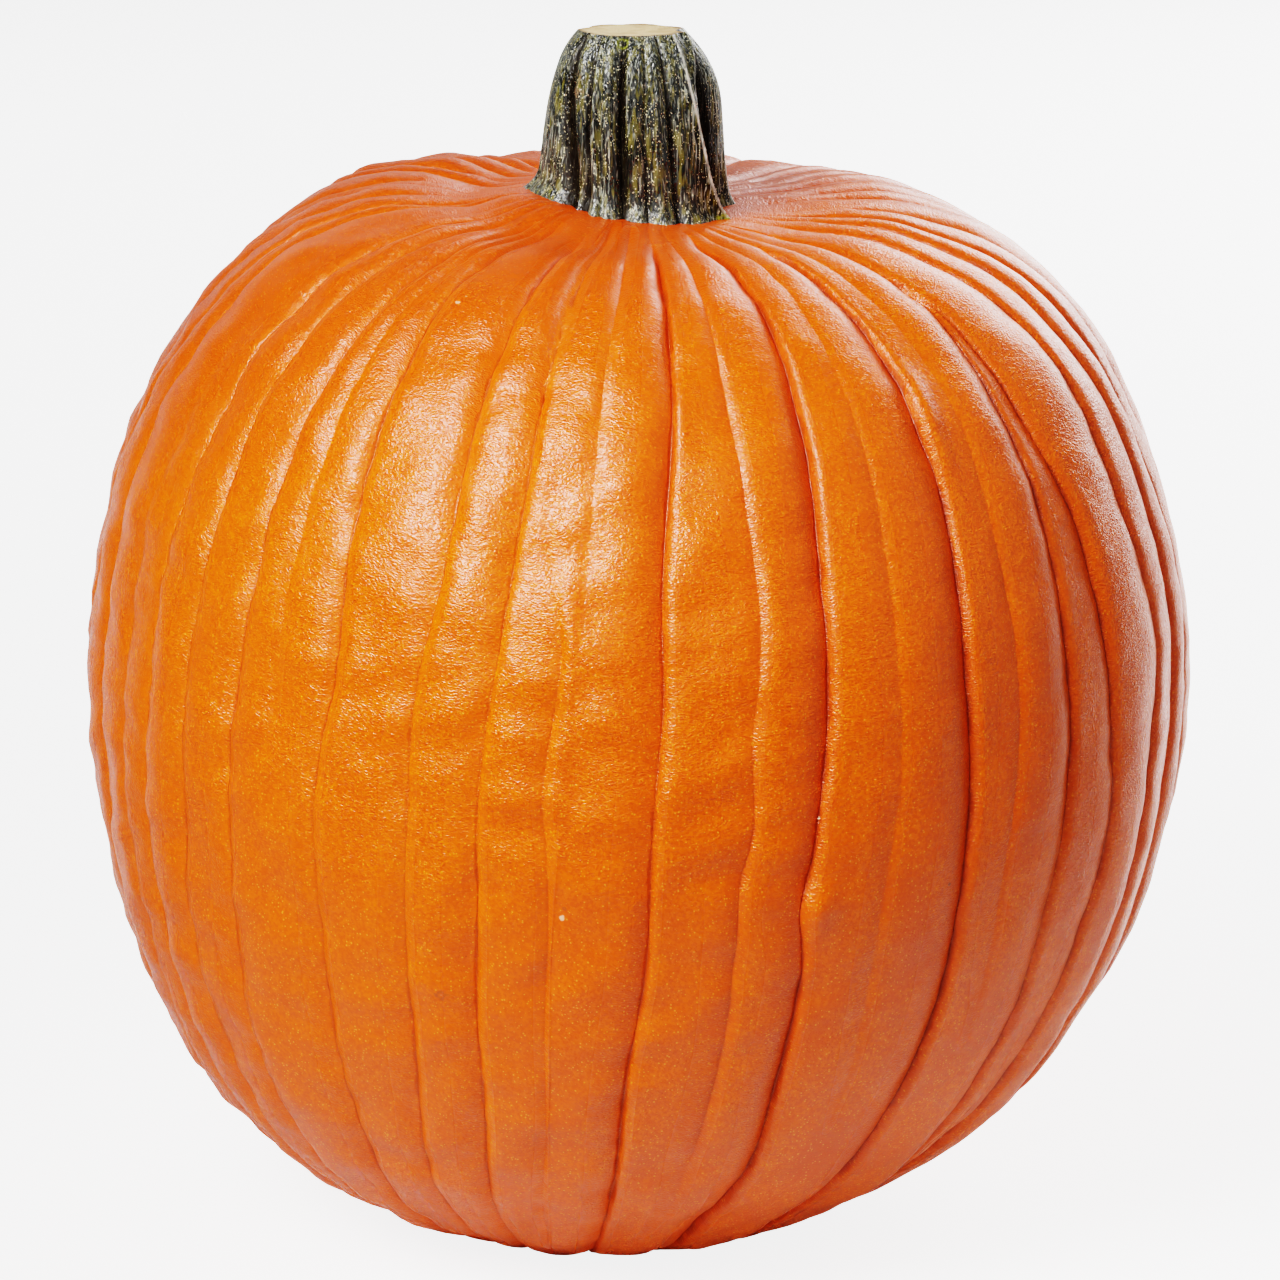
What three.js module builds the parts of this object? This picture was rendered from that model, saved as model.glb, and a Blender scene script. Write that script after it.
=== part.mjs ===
// A carving pumpkin as picked: one ribbed fruit that rests on its flattened base, with its cut stem.
// Millimetres, +Z up, the front faces -Y. The origin is on the ground under the middle of the whole.
// Azimuths are in degrees from the front, growing towards +X. Latitudes are degrees above the heart,
// the point on the fruit's own axis that its profile is drawn around.

import * as THREE from 'three';
import { mergeVertices } from 'three/addons/utils/BufferGeometryUtils.js';

// ---------------------------------------------------------------- driving dimensions: the fruit

const HEART_HEIGHT = 135;          // of the heart over the lowest point of the untrimmed profile
const AXIS_TILT = 3.6;             // the grown axis leans towards +X
const SIDE_SWELL = 0.05;           // the +X side is that much fuller than the mean, the -X side less
const BASE_TRIM = 4;               // what the flat resting spot takes off the lowest point
const PROFILE_STEPS = 2;           // rows for each span of the profile

// Half section of the fruit from its blossom end to its stem end: [radius, height].
const PROFILE = [
  [0, 6], [15, 3.4], [31, 0], [60, 5], [93, 23], [119, 48], [137.5, 83], [149, 127],
  [151.5, 170], [144.5, 213], [126, 253], [100, 278.5], [71, 288.5], [46, 290],
];

// ---------------------------------------------------------------- driving dimensions: the furrows

// Each furrow of the front: azimuth, depth, drift towards the stem end, drift towards the blossom end,
// lowest latitude and highest latitude that it reaches.
const FRONT_FURROWS = [
  [-73.5, 2.6, -4, 1, -90, 90], [-65, 1.3, 1, 4, -90, 35], [-59.3, 2.4, 1.5, 2.5, -90, 90],
  [-51.4, 2.3, 1, 3, -90, 90], [-43.6, 2.6, 1.5, 3, -90, 90], [-37.5, 0.8, 0, 2, 20, 90],
  [-30.6, 2.7, -2, 2, -90, 90], [-20.3, 2.5, 1.5, 0, -90, 90], [-12.5, 2.8, 1.5, 1, -90, 90],
  [-5, 1.9, -1, 0.5, -48, 24], [-4, 0.9, 1, 0, 34, 90], [4.6, 3.2, 0.8, -0.5, -90, 90],
  [14.4, 1.9, -2.5, -5, -42, 66], [21.3, 3.5, 1, -0.5, -90, 90], [29, 0.9, -0.5, 0, -20, 55],
  [38.3, 3.5, -1, -1.5, -90, 90], [43.6, 1, -1, 0, -12, 60], [51.5, 2.6, 0.5, -0.5, -90, 90],
  [59.6, 2.8, -8, -4.5, -62, 58], [69.2, 2.5, -2.5, -1, -90, 90], [77, 2.6, -1, -1, -90, 90],
];

const BACK_FROM = 85.5;            // the furrows of the back stand between these two azimuths
const BACK_TO = 278.5;
const BACK_COUNT = 23;
const BACK_SEED = 7;               // for the small uneven steps, depths and drifts of the back
const FURROW_HALF_WIDTH = 1.5;     // degrees from the crease to where its flank has levelled out
const FURROW_APRON = 3;            // the soft hollow beside a crease, in half widths
const CREASE_SHARE = 0.62;         // of the depth in the narrow crease, the rest is in the apron
const FADE_LENGTH = 14;            // degrees of latitude over which a short furrow runs out
const DRIFT_LATITUDE = 60;         // where a furrow's drift is reached in full
const FULL_DEPTH_FROM = 95;        // radius from which a furrow has its full depth
const SMOOTH_FROM = 29;            // radius of the smooth seat under the stem
const SMOOTH_TO = 52;              // radius where the furrows have their full share of depth

// Broad swellings and hollows: azimuth, latitude, spread in degrees, height.
const SWELLS = [
  [-50, -44, 24, 1.8], [42, -42, 24, -2], [76, 62, 22, 2.4], [88, -12, 30, 2.4], [84, 32, 20, -1.6],
  [118, 60, 22, 1.6], [-112, 62, 20, 1.6],
  [8, 12, 40, 1], [150, 20, 45, 2], [215, -25, 40, -2], [120, -35, 30, 1.5],
];

// ---------------------------------------------------------------- driving dimensions: the stem

const STEM_CENTRE = [-1.5, 0];     // from the upper end of the fruit's axis
const STEM_HEIGHT = 47.5;
const STEM_GAP = 0.3;              // between the fruit's seat and the underside of the stem
const SEAT_HEIGHT = 289.5;         // middle of the seat over the lowest point of the profile
const SEAT_SLOPE = 7.5;            // the seat falls towards +X
const SEAT_PITCH = 3.5;            // and towards the back
const CUT_PITCH = 9;               // the cut across the top falls towards the back
const STEM_COLUMNS = 60;
// Outline of the stem from its flared foot to the cut: [radius, share of the height].
const STEM_OUTLINE = [
  [27.6, 0], [25.6, 0.05], [23.8, 0.13], [22.9, 0.26], [22.6, 0.42], [21.6, 0.6], [19.6, 0.76],
  [17, 0.9], [15, 1],
];
// Ridges and hollows down the stem: azimuth at the cut, azimuth at the foot, half width, height.
const STEM_RIDGES = [
  [-78, -72, 17, 1.2], [-52, -50, 8, -1], [-34, -34, 8, 0.9], [-20, -22, 7, -1.2], [-6, -8, 8, 0.7],
  [8, 6, 6, -0.9], [22, 22, 8, 0.8], [36, 38, 6, -0.6], [56, 72, 9, 3.4], [84, 90, 14, -4.6],
  [112, 112, 16, 3], [140, 140, 12, -2.4], [166, 166, 13, 2.2], [192, 192, 12, -2],
  [216, 216, 13, 2.2], [240, 240, 11, -1.8], [262, 262, 12, 1.6],
];

// ---------------------------------------------------------------- helpers

const radians = THREE.MathUtils.degToRad;
const smooth = THREE.MathUtils.smoothstep;

/** An even draw between 0 and 1 that is the same each time for one number. */
function draw(number) {
  const value = Math.sin(number * 12.9898 + BACK_SEED * 78.233) * 43758.5453;
  return value - Math.floor(value);
}

/** Signed step from one azimuth to another by the shorter way round. */
function turn(from, to) {
  return ((((to - from + 180) % 360) + 360) % 360) - 180;
}

/** Bell curve of height 1. */
function bell(distance, spread) {
  return Math.exp(-((distance / spread) ** 2));
}

/** Merges shared corners and drops the triangles that closed up at a pole. */
function asSolid(geometry) {
  geometry.deleteAttribute('normal');
  geometry.deleteAttribute('uv');
  const merged = mergeVertices(geometry, 1e-3);
  const corners = merged.index.array;
  const kept = [];
  for (let i = 0; i < corners.length; i += 3) {
    const [a, b, c] = corners.slice(i, i + 3);
    if (a !== b && b !== c && c !== a) kept.push(a, b, c);
  }
  merged.setIndex(kept);
  merged.computeVertexNormals();
  return merged;
}

/** Turns a lathe's vertices into the given places, one call for each column and row. */
function placeVertices(lathe, columns, rows, place) {
  const position = lathe.attributes.position;
  for (let column = 0; column <= columns; column += 1) {
    for (let row = 0; row < rows; row += 1) {
      const { x, y, z } = place(column % columns, row);
      position.setXYZ(column * rows + row, x, y, z);
    }
  }
}

// ---------------------------------------------------------------- the fruit's furrows

/** The furrows all the way round, in order of azimuth. */
function allFurrows() {
  const furrows = FRONT_FURROWS.map(([azimuth, depth, up, down, low, high]) => (
    { azimuth, depth, up, down, low, high }));
  const step = (BACK_TO - BACK_FROM) / (BACK_COUNT - 1);
  for (let i = 0; i < BACK_COUNT; i += 1) {
    furrows.push({
      azimuth: BACK_FROM + (i + 0.5 * (draw(i) - 0.5)) * step,
      depth: i % 3 === 1 ? 1.4 + draw(i + 40) : 2.3 + draw(i + 40),
      up: 3 * (draw(i + 80) - 0.5),
      down: 3 * (draw(i + 120) - 0.5),
      low: -90,
      high: 90,
    });
  }
  return furrows;
}

const FURROWS = allFurrows();

/** Azimuth of a furrow's crease at one latitude. */
function creaseAzimuth(furrow, latitude) {
  const share = Math.min(1, Math.abs(latitude) / DRIFT_LATITUDE) ** 2;
  const drift = (latitude > 0 ? furrow.up : furrow.down) * share;
  const phase = furrow.azimuth * 1.7;
  const waver = 0.35 * Math.sin(latitude / 9 + phase) + 0.2 * Math.sin(latitude / 4.3 + 2 * phase);
  return furrow.azimuth + drift + waver * Math.cos(radians(latitude));
}

/** Depth of a furrow at one latitude and distance from the axis. */
function creaseDepth(furrow, latitude, radius) {
  const lower = smooth(latitude, furrow.low - FADE_LENGTH, furrow.low + FADE_LENGTH);
  const upper = 1 - smooth(latitude, furrow.high - FADE_LENGTH, furrow.high + FADE_LENGTH);
  const seat = latitude > 0 ? smooth(radius, SMOOTH_FROM, SMOOTH_TO) : 1;
  return furrow.depth * lower * upper * seat * Math.min(1, radius / FULL_DEPTH_FROM);
}

/** How far the skin stands out (or in) from the plain profile. */
function relief(azimuth, latitude, radius) {
  let height = 0;
  for (const furrow of FURROWS) {
    const away = Math.abs(turn(creaseAzimuth(furrow, latitude), azimuth));
    const narrow = Math.exp(-away / FURROW_HALF_WIDTH);
    const wide = bell(away, FURROW_HALF_WIDTH * FURROW_APRON);
    const share = CREASE_SHARE * narrow + (1 - CREASE_SHARE) * wide;
    height -= creaseDepth(furrow, latitude, radius) * share;
  }
  for (const [at, level, spread, rise] of SWELLS) {
    const sideways = turn(at, azimuth) * Math.cos(radians(latitude));
    height += rise * bell(Math.hypot(sideways, latitude - level), spread);
  }
  return height;
}

/** Azimuths of the fruit's columns at one latitude: crease, flank, crest and flank of each rib. */
function columnAzimuths(latitude) {
  return FURROWS.flatMap((furrow, i) => {
    const here = creaseAzimuth(furrow, latitude);
    const gap = turn(here, creaseAzimuth(FURROWS[(i + 1) % FURROWS.length], latitude));
    const flank = Math.min(FURROW_HALF_WIDTH, 0.3 * gap);
    return [here, here + flank, here + gap / 2, here + gap - flank];
  });
}

// ---------------------------------------------------------------- the fruit

/** A point of the fruit's own frame as it stands on the ground, leaning and trimmed flat below. */
function stand(x, y, height) {
  const above = height - HEART_HEIGHT;
  const lean = radians(AXIS_TILT);
  return new THREE.Vector3(
    x * Math.cos(lean) + above * Math.sin(lean),
    y,
    HEART_HEIGHT + above * Math.cos(lean) - x * Math.sin(lean),
  );
}

const AXIS_TOP = stand(0, 0, SEAT_HEIGHT);
const STEM_X = AXIS_TOP.x + STEM_CENTRE[0];
const STEM_Y = AXIS_TOP.y + STEM_CENTRE[1];

/** Height of the seat's plane over one place. */
function seatHeight(x, y) {
  return AXIS_TOP.z - (x - STEM_X) * Math.tan(radians(SEAT_SLOPE))
    - (y - STEM_Y) * Math.tan(radians(SEAT_PITCH));
}

function makeFruit() {
  const curve = new THREE.SplineCurve(PROFILE.map(([r, h]) => new THREE.Vector2(r, h)));
  const count = (PROFILE.length - 1) * PROFILE_STEPS;
  const profile = curve.getPoints(count);
  const normals = profile.map((_, i) => {
    const tangent = curve.getTangent(i / count);
    return new THREE.Vector2(tangent.y, -tangent.x);
  });
  profile.push(new THREE.Vector2(SMOOTH_FROM, SEAT_HEIGHT), new THREE.Vector2(0, SEAT_HEIGHT));
  normals.push(new THREE.Vector2(0, 1), new THREE.Vector2(0, 1));

  const columns = FURROWS.length * 4;
  const rings = profile.map((point) => {
    const latitude = THREE.MathUtils.radToDeg(Math.atan2(point.y - HEART_HEIGHT, point.x));
    return { latitude, azimuths: columnAzimuths(latitude) };
  });
  const lathe = new THREE.LatheGeometry(profile, columns);
  placeVertices(lathe, columns, profile.length, (column, row) => {
    const { x: radius, y: height } = profile[row];
    const { latitude, azimuths } = rings[row];
    const azimuth = azimuths[column];
    const out = relief(azimuth, latitude, radius) * Math.min(1, radius / 30);
    const angle = radians(azimuth);
    const reach = (radius + out * normals[row].x) * (1 + SIDE_SWELL * Math.sin(angle));
    const place = stand(reach * Math.sin(angle), -reach * Math.cos(angle), height + out * normals[row].y);
    if (latitude > 0) {
      const seat = 1 - smooth(radius, SMOOTH_FROM, SMOOTH_TO);
      place.z += seat * (seatHeight(place.x, place.y) - place.z);
    }
    place.z = Math.max(0, place.z - BASE_TRIM);
    return place;
  });
  return asSolid(lathe);
}

// ---------------------------------------------------------------- the stem

/** How far the stem's ridges and hollows stand out at one azimuth and share of its height. */
function stemRelief(azimuth, share) {
  let height = 0;
  for (const [atCut, atFoot, spread, rise] of STEM_RIDGES) {
    const at = THREE.MathUtils.lerp(atFoot, atCut, share);
    height += rise * bell(turn(at, azimuth), spread);
  }
  return height * (1 - 0.55 * share);
}

function makeStem() {
  const outline = new THREE.SplineCurve(STEM_OUTLINE.map(([r, s]) => new THREE.Vector2(r, s)));
  const side = outline.getPoints(STEM_OUTLINE.length - 1);
  const profile = [new THREE.Vector2(0, 0), ...side, new THREE.Vector2(0, 1)];
  const lathe = new THREE.LatheGeometry(profile, STEM_COLUMNS);
  placeVertices(lathe, STEM_COLUMNS, profile.length, (column, row) => {
    const { x: radius, y: share } = profile[row];
    const azimuth = (column * 360) / STEM_COLUMNS;
    const reach = radius > 0 ? radius + stemRelief(azimuth, share) : 0;
    const x = STEM_X + reach * Math.sin(radians(azimuth));
    const y = STEM_Y - reach * Math.cos(radians(azimuth));
    const foot = seatHeight(x, y) + STEM_GAP;
    const cut = AXIS_TOP.z + STEM_HEIGHT - (y - STEM_Y) * Math.tan(radians(CUT_PITCH));
    return new THREE.Vector3(x, y, THREE.MathUtils.lerp(foot, cut, share) - BASE_TRIM);
  });
  return asSolid(lathe);
}

// ---------------------------------------------------------------- the pumpkin

const rind = new THREE.MeshStandardMaterial({ color: 0xd9701a, roughness: 0.42, metalness: 0 });
const driedStem = new THREE.MeshStandardMaterial({ color: 0x33342a, roughness: 0.7, metalness: 0 });

const fruit = new THREE.Mesh(makeFruit(), rind);
fruit.name = 'fruit';

const stem = new THREE.Mesh(makeStem(), driedStem);
stem.name = 'stem';

const pumpkin = new THREE.Group();
pumpkin.add(fruit, stem);

// The origin goes under the middle of the whole, on the ground.
const middle = new THREE.Box3().setFromObject(pumpkin).getCenter(new THREE.Vector3());
pumpkin.position.set(-middle.x, -middle.y, 0);

export default pumpkin;
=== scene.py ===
"""A carving pumpkin on a pale floor: a ribbed fruit on its flattened base, with its short dry stem.

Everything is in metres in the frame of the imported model: +Z up, the front faces -Y. Azimuths are
in degrees from the front, growing towards +X. Latitudes are in degrees above the fruit's heart, the
point on its own axis that its profile is drawn around.
"""

import logging
import math
from dataclasses import dataclass, field
from enum import Enum

import bmesh
import bpy
import numpy as np
from mathutils import Euler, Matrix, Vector, noise


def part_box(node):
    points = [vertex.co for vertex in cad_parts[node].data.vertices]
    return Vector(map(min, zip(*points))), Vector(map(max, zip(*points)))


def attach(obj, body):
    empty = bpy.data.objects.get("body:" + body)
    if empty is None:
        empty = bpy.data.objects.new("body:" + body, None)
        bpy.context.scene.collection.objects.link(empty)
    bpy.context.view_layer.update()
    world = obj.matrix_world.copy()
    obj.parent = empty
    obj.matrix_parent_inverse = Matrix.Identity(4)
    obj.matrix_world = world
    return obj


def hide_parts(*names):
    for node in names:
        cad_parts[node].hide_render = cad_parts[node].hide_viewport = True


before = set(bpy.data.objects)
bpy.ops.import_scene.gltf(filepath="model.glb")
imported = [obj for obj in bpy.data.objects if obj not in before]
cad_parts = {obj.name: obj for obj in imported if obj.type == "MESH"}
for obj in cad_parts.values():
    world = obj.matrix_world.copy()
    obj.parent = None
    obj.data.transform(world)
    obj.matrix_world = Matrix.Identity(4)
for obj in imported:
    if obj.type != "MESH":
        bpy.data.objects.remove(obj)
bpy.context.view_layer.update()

MM = 0.001
MERGE = 0.01 * MM     # vertices closer than this become one
SKIN_IOR = 1.5        # of the wax on the rind and of the stem's skin
LOG = logging.getLogger("pumpkin")

Array = np.ndarray
Span = tuple[float, float]
Socket = bpy.types.NodeSocket
Mesh = bmesh.types.BMesh


class Layer(Enum):
    """Names of the values that a mesh keeps on its vertices for its material."""

    ARC = "arc"            # metres along the profile from the blossom end, or up the stem
    CREASE = "crease"      # millimetres to the nearest crease
    GROOVE = "groove"      # how deep that crease is there, 0 to about 1
    BANK = "bank"          # 1 on the long bank beside a deep crease
    CREST = "crest"        # how far the stem's skin stands out or in there, -1 to 1
    EDGE = "edge"          # 1 where a painted highlight runs along the edge of a sharp stem ridge


FRUIT_LAYERS = (Layer.ARC, Layer.CREASE, Layer.GROOVE, Layer.BANK)


# ---- shared mathematics


def smoothstep(value: Array | float, low: float, high: float) -> Array | float:
    """Smooth ramp from 0 at low to 1 at high, shaped as the value."""
    share = np.clip((value - low) / (high - low), 0.0, 1.0)
    return share * share * (3.0 - 2.0 * share)


def bell(distance: Array | float, spread: float) -> Array | float:
    """Bell curve of height 1 at distance 0."""
    return np.exp(-((distance / spread) ** 2))


def turn(start: Array | float, end: Array | float) -> Array | float:
    """Signed step in degrees from one azimuth to another by the shorter way round."""
    return (np.asarray(end) - start + 180.0) % 360.0 - 180.0


def waver(start: float, place: Array, phase: float, waves: tuple[tuple[float, ...], ...]) -> Array:
    """A number with slow waves on it: height, length and share of the phase of each."""
    return sum((height * np.sin(place / length + share * phase) for height, length, share in waves),
               start)


def draw(number: float, seed: float = 7.0) -> float:
    """Even draw between 0 and 1 that is the same each time for one number and seed."""
    value = math.sin(number * 12.9898 + seed * 78.233) * 43758.5453
    return value - math.floor(value)


def spline(points: list[tuple[float, float]], per_span: int) -> Array:
    """Uniform Catmull-Rom curve through a list of points.

    Args:
        points: The points in order.
        per_span: Samples for each span between two points.

    Returns:
        An array of shape (samples, 2) that starts and ends on the end points.
    """
    p = np.array([points[0], *points, points[-1]], float)
    t = np.linspace(0.0, 1.0, per_span, endpoint=False)[:, None]
    spans = []
    for a, b, c, d in zip(p[:-3], p[1:-2], p[2:-1], p[3:]):
        v0, v1 = (c - a) / 2, (d - b) / 2
        spans.append((2 * b - 2 * c + v0 + v1) * t**3 + (3 * c - 3 * b - 2 * v0 - v1) * t**2
                     + v0 * t + b)
    return np.vstack([*spans, p[-1:]])


def even_samples(curve: Array, count: int) -> tuple[Array, Array]:
    """Resamples a curve at even steps of its length.

    Args:
        curve: Array of shape (n, 2).
        count: Number of samples wanted.

    Returns:
        The samples, and the length along the curve at each of them.
    """
    length = np.concatenate([[0.0], np.cumsum(np.hypot(*np.diff(curve, axis=0).T))])
    at = np.linspace(0.0, length[-1], count)
    return np.stack([np.interp(at, length, curve[:, i]) for i in (0, 1)], 1), at


# ---- shared mesh work


def rolled_sheet(points: Array, values: dict[Layer, Array],
                 ) -> tuple[Mesh, dict[tuple[int, int], list[bmesh.types.BMVert]]]:
    """Rolls a flat net into a tube through rows of points. Its last column lies on its first.

    Args:
        points: Points in millimetres, shaped (rows, columns, 3).
        values: What its vertices keep for the material, each shaped (rows, columns).

    Returns:
        The bmesh, and its vertices by (row, column), two of them along the seam.
    """
    rows, columns = points.shape[:2]
    sheet = bmesh.new()
    for item in values:
        sheet.verts.layers.float.new(item.value)
    bmesh.ops.create_grid(sheet, x_segments=columns, y_segments=rows - 1, size=0.5)
    kept = [(sheet.verts.layers.float[item.value], value) for item, value in values.items()]
    places: dict[tuple[int, int], list[bmesh.types.BMVert]] = {}
    for vert in sheet.verts:
        row = round((vert.co.y + 0.5) * (rows - 1))
        column = round((vert.co.x + 0.5) * columns) % columns
        places.setdefault((row, column), []).append(vert)
        vert.co = points[row, column] * MM
        for layer, value in kept:
            vert[layer] = value[row, column]
    return sheet, places


def linked(name: str, data: bpy.types.ID) -> bpy.types.Object:
    """Makes an object and puts it into the scene.

    Args:
        name: Its name.
        data: Its mesh, light or camera.

    Returns:
        The object.
    """
    item = bpy.data.objects.new(name, data)
    bpy.context.scene.collection.objects.link(item)
    return item


def finished_object(name: str, sheet: Mesh) -> bpy.types.Object:
    """Closes a bmesh's poles and seam, points its faces outwards and makes it an object.

    Args:
        name: The piece's name.
        sheet: The bmesh, which is used up.

    Returns:
        The new object, smooth shaded.
    """
    bmesh.ops.remove_doubles(sheet, verts=sheet.verts, dist=MERGE)
    bmesh.ops.dissolve_degenerate(sheet, edges=sheet.edges, dist=MERGE / 10)
    bmesh.ops.recalc_face_normals(sheet, faces=sheet.faces)
    for face in sheet.faces:
        face.smooth = True
    mesh = bpy.data.meshes.new(name)
    sheet.to_mesh(mesh)
    sheet.free()
    return linked(name, mesh)


# ---- node trees


class Sheet:
    """Short hand for laying out the nodes of one material or node group."""

    def __init__(self, tree: bpy.types.NodeTree) -> None:
        """Empties the tree and keeps it."""
        self.tree = tree
        tree.nodes.clear()

    def add(self, kind: str, inputs: dict[str | int, object] | None = None,
            **settings: object) -> bpy.types.Node:
        """Adds one node.

        Args:
            kind: Blender's name of the node type.
            inputs: Socket values or sockets to link from, by input name or number.
            **settings: Properties of the node itself.

        Returns:
            The new node.
        """
        node = self.tree.nodes.new(kind)
        for key, value in settings.items():
            setattr(node, key, value)
        for key, value in (inputs or {}).items():
            if isinstance(value, Socket):
                self.tree.links.new(value, node.inputs[key])
            else:
                node.inputs[key].default_value = value
        return node

    def math(self, operation: str, *values: object, clamp: bool = False) -> Socket:
        """A Math node on up to three numbers or sockets, kept between 0 and 1 by clamp."""
        return self.add("ShaderNodeMath", dict(enumerate(values)), operation=operation,
                        use_clamp=clamp).outputs[0]

    def ramp(self, value: object, low: float, high: float, start: float = 0.0,
             end: float = 1.0) -> Socket:
        """A smooth ramp from start, where the value is low, to end, where it is high."""
        node = self.add("ShaderNodeMapRange", {"Value": value, "From Min": low, "From Max": high,
                                               "To Min": start, "To Max": end},
                        interpolation_type="SMOOTHSTEP")
        return node.outputs["Result"]

    def times(self, first: object, second: object) -> Socket:
        """The product of two numbers or sockets."""
        return self.math("MULTIPLY", first, second)

    def mix(self, factor: object, first: object, second: object) -> Socket:
        """Mixes two colours, where the factor is the share of the second."""
        return self.add("ShaderNodeMix", {0: factor, 6: first, 7: second},
                        data_type="RGBA").outputs[2]

    def washes(self, colour: object, *tints: tuple[object, object]) -> Socket:
        """Lays tints over a colour one by one.

        Args:
            colour: The colour under them.
            *tints: Share and colour of each.

        Returns:
            The colour that shows.
        """
        for share, tint in tints:
            colour = self.mix(share, colour, tint)
        return colour

    def group(self, tree: bpy.types.NodeTree, vector: object, **inputs: object,
              ) -> bpy.types.NodeOutputs:
        """Places a shared group, with its other values or sockets by input name."""
        return self.add("ShaderNodeGroup", {"Vector": vector, **inputs}, node_tree=tree).outputs

    def scaled(self, vector: object, factors: tuple[float, float, float]) -> Socket:
        """A vector multiplied by three factors."""
        node = self.add("ShaderNodeVectorMath", {0: vector, 1: factors}, operation="MULTIPLY")
        return node.outputs[0]

    def axes(self, vector: object) -> tuple[Socket, ...]:
        """The X, Y and Z of a vector."""
        return tuple(self.add("ShaderNodeSeparateXYZ", {0: vector}).outputs)

    def layer(self, item: Layer) -> Socket:
        """A value that the mesh keeps on its vertices."""
        return self.add("ShaderNodeAttribute", attribute_name=item.value).outputs["Fac"]

    def noise(self, vector: object, scale: object, detail: float,
              roughness: float = 0.5) -> Socket:
        """Noise around 0.5, with its waves for each metre, its finer octaves and their weight."""
        return self.add("ShaderNodeTexNoise", {"Vector": vector, "Scale": scale, "Detail": detail,
                                               "Roughness": roughness}).outputs["Fac"]

    def surface(self, inputs: dict[str, object],
                relief: tuple[object, float] | None = None) -> None:
        """Ends a material with its shader.

        Args:
            inputs: The shader's values or sockets to link from, by input name.
            relief: A socket with heights, and how many metres a height of 1 is.
        """
        if relief:
            bump = self.add("ShaderNodeBump", {"Strength": 1.0, "Distance": relief[1],
                                               "Height": relief[0]})
            inputs = {**inputs, "Normal": bump.outputs[0]}
        shader = self.add("ShaderNodeBsdfPrincipled", inputs)
        self.add("ShaderNodeOutputMaterial", {"Surface": shader.outputs[0]})


def new_material(name: str) -> tuple[bpy.types.Material, Sheet, Socket]:
    """Starts a material.

    Args:
        name: Its name.

    Returns:
        The material, the sheet to lay its nodes on, and places on the object.
    """
    material = bpy.data.materials.new(name)
    material.use_nodes = True
    sheet = Sheet(material.node_tree)
    return material, sheet, sheet.add("ShaderNodeTexCoord").outputs["Object"]


def new_group(name: str, vectors: tuple[str, ...], numbers: dict[str, float],
              outputs: tuple[str, ...]) -> tuple[Sheet, bpy.types.NodeOutputs]:
    """Starts a shader node group with named inputs, and numbers as its outputs.

    Args:
        name: The group's name.
        vectors: Names of the vectors that it reads.
        numbers: First value of each number that it reads, by the input's name.
        outputs: Names of the outputs.

    Returns:
        The sheet to lay nodes on, and the values that the group is given.
    """
    tree = bpy.data.node_groups.new(name, "ShaderNodeTree")
    for key in vectors:
        tree.interface.new_socket(key, in_out="INPUT", socket_type="NodeSocketVector")
    for key, value in numbers.items():
        socket = tree.interface.new_socket(key, in_out="INPUT", socket_type="NodeSocketFloat")
        socket.default_value = value
    for key in outputs:
        tree.interface.new_socket(key, in_out="OUTPUT", socket_type="NodeSocketFloat")
    sheet = Sheet(tree)
    return sheet, sheet.add("NodeGroupInput").outputs


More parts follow.
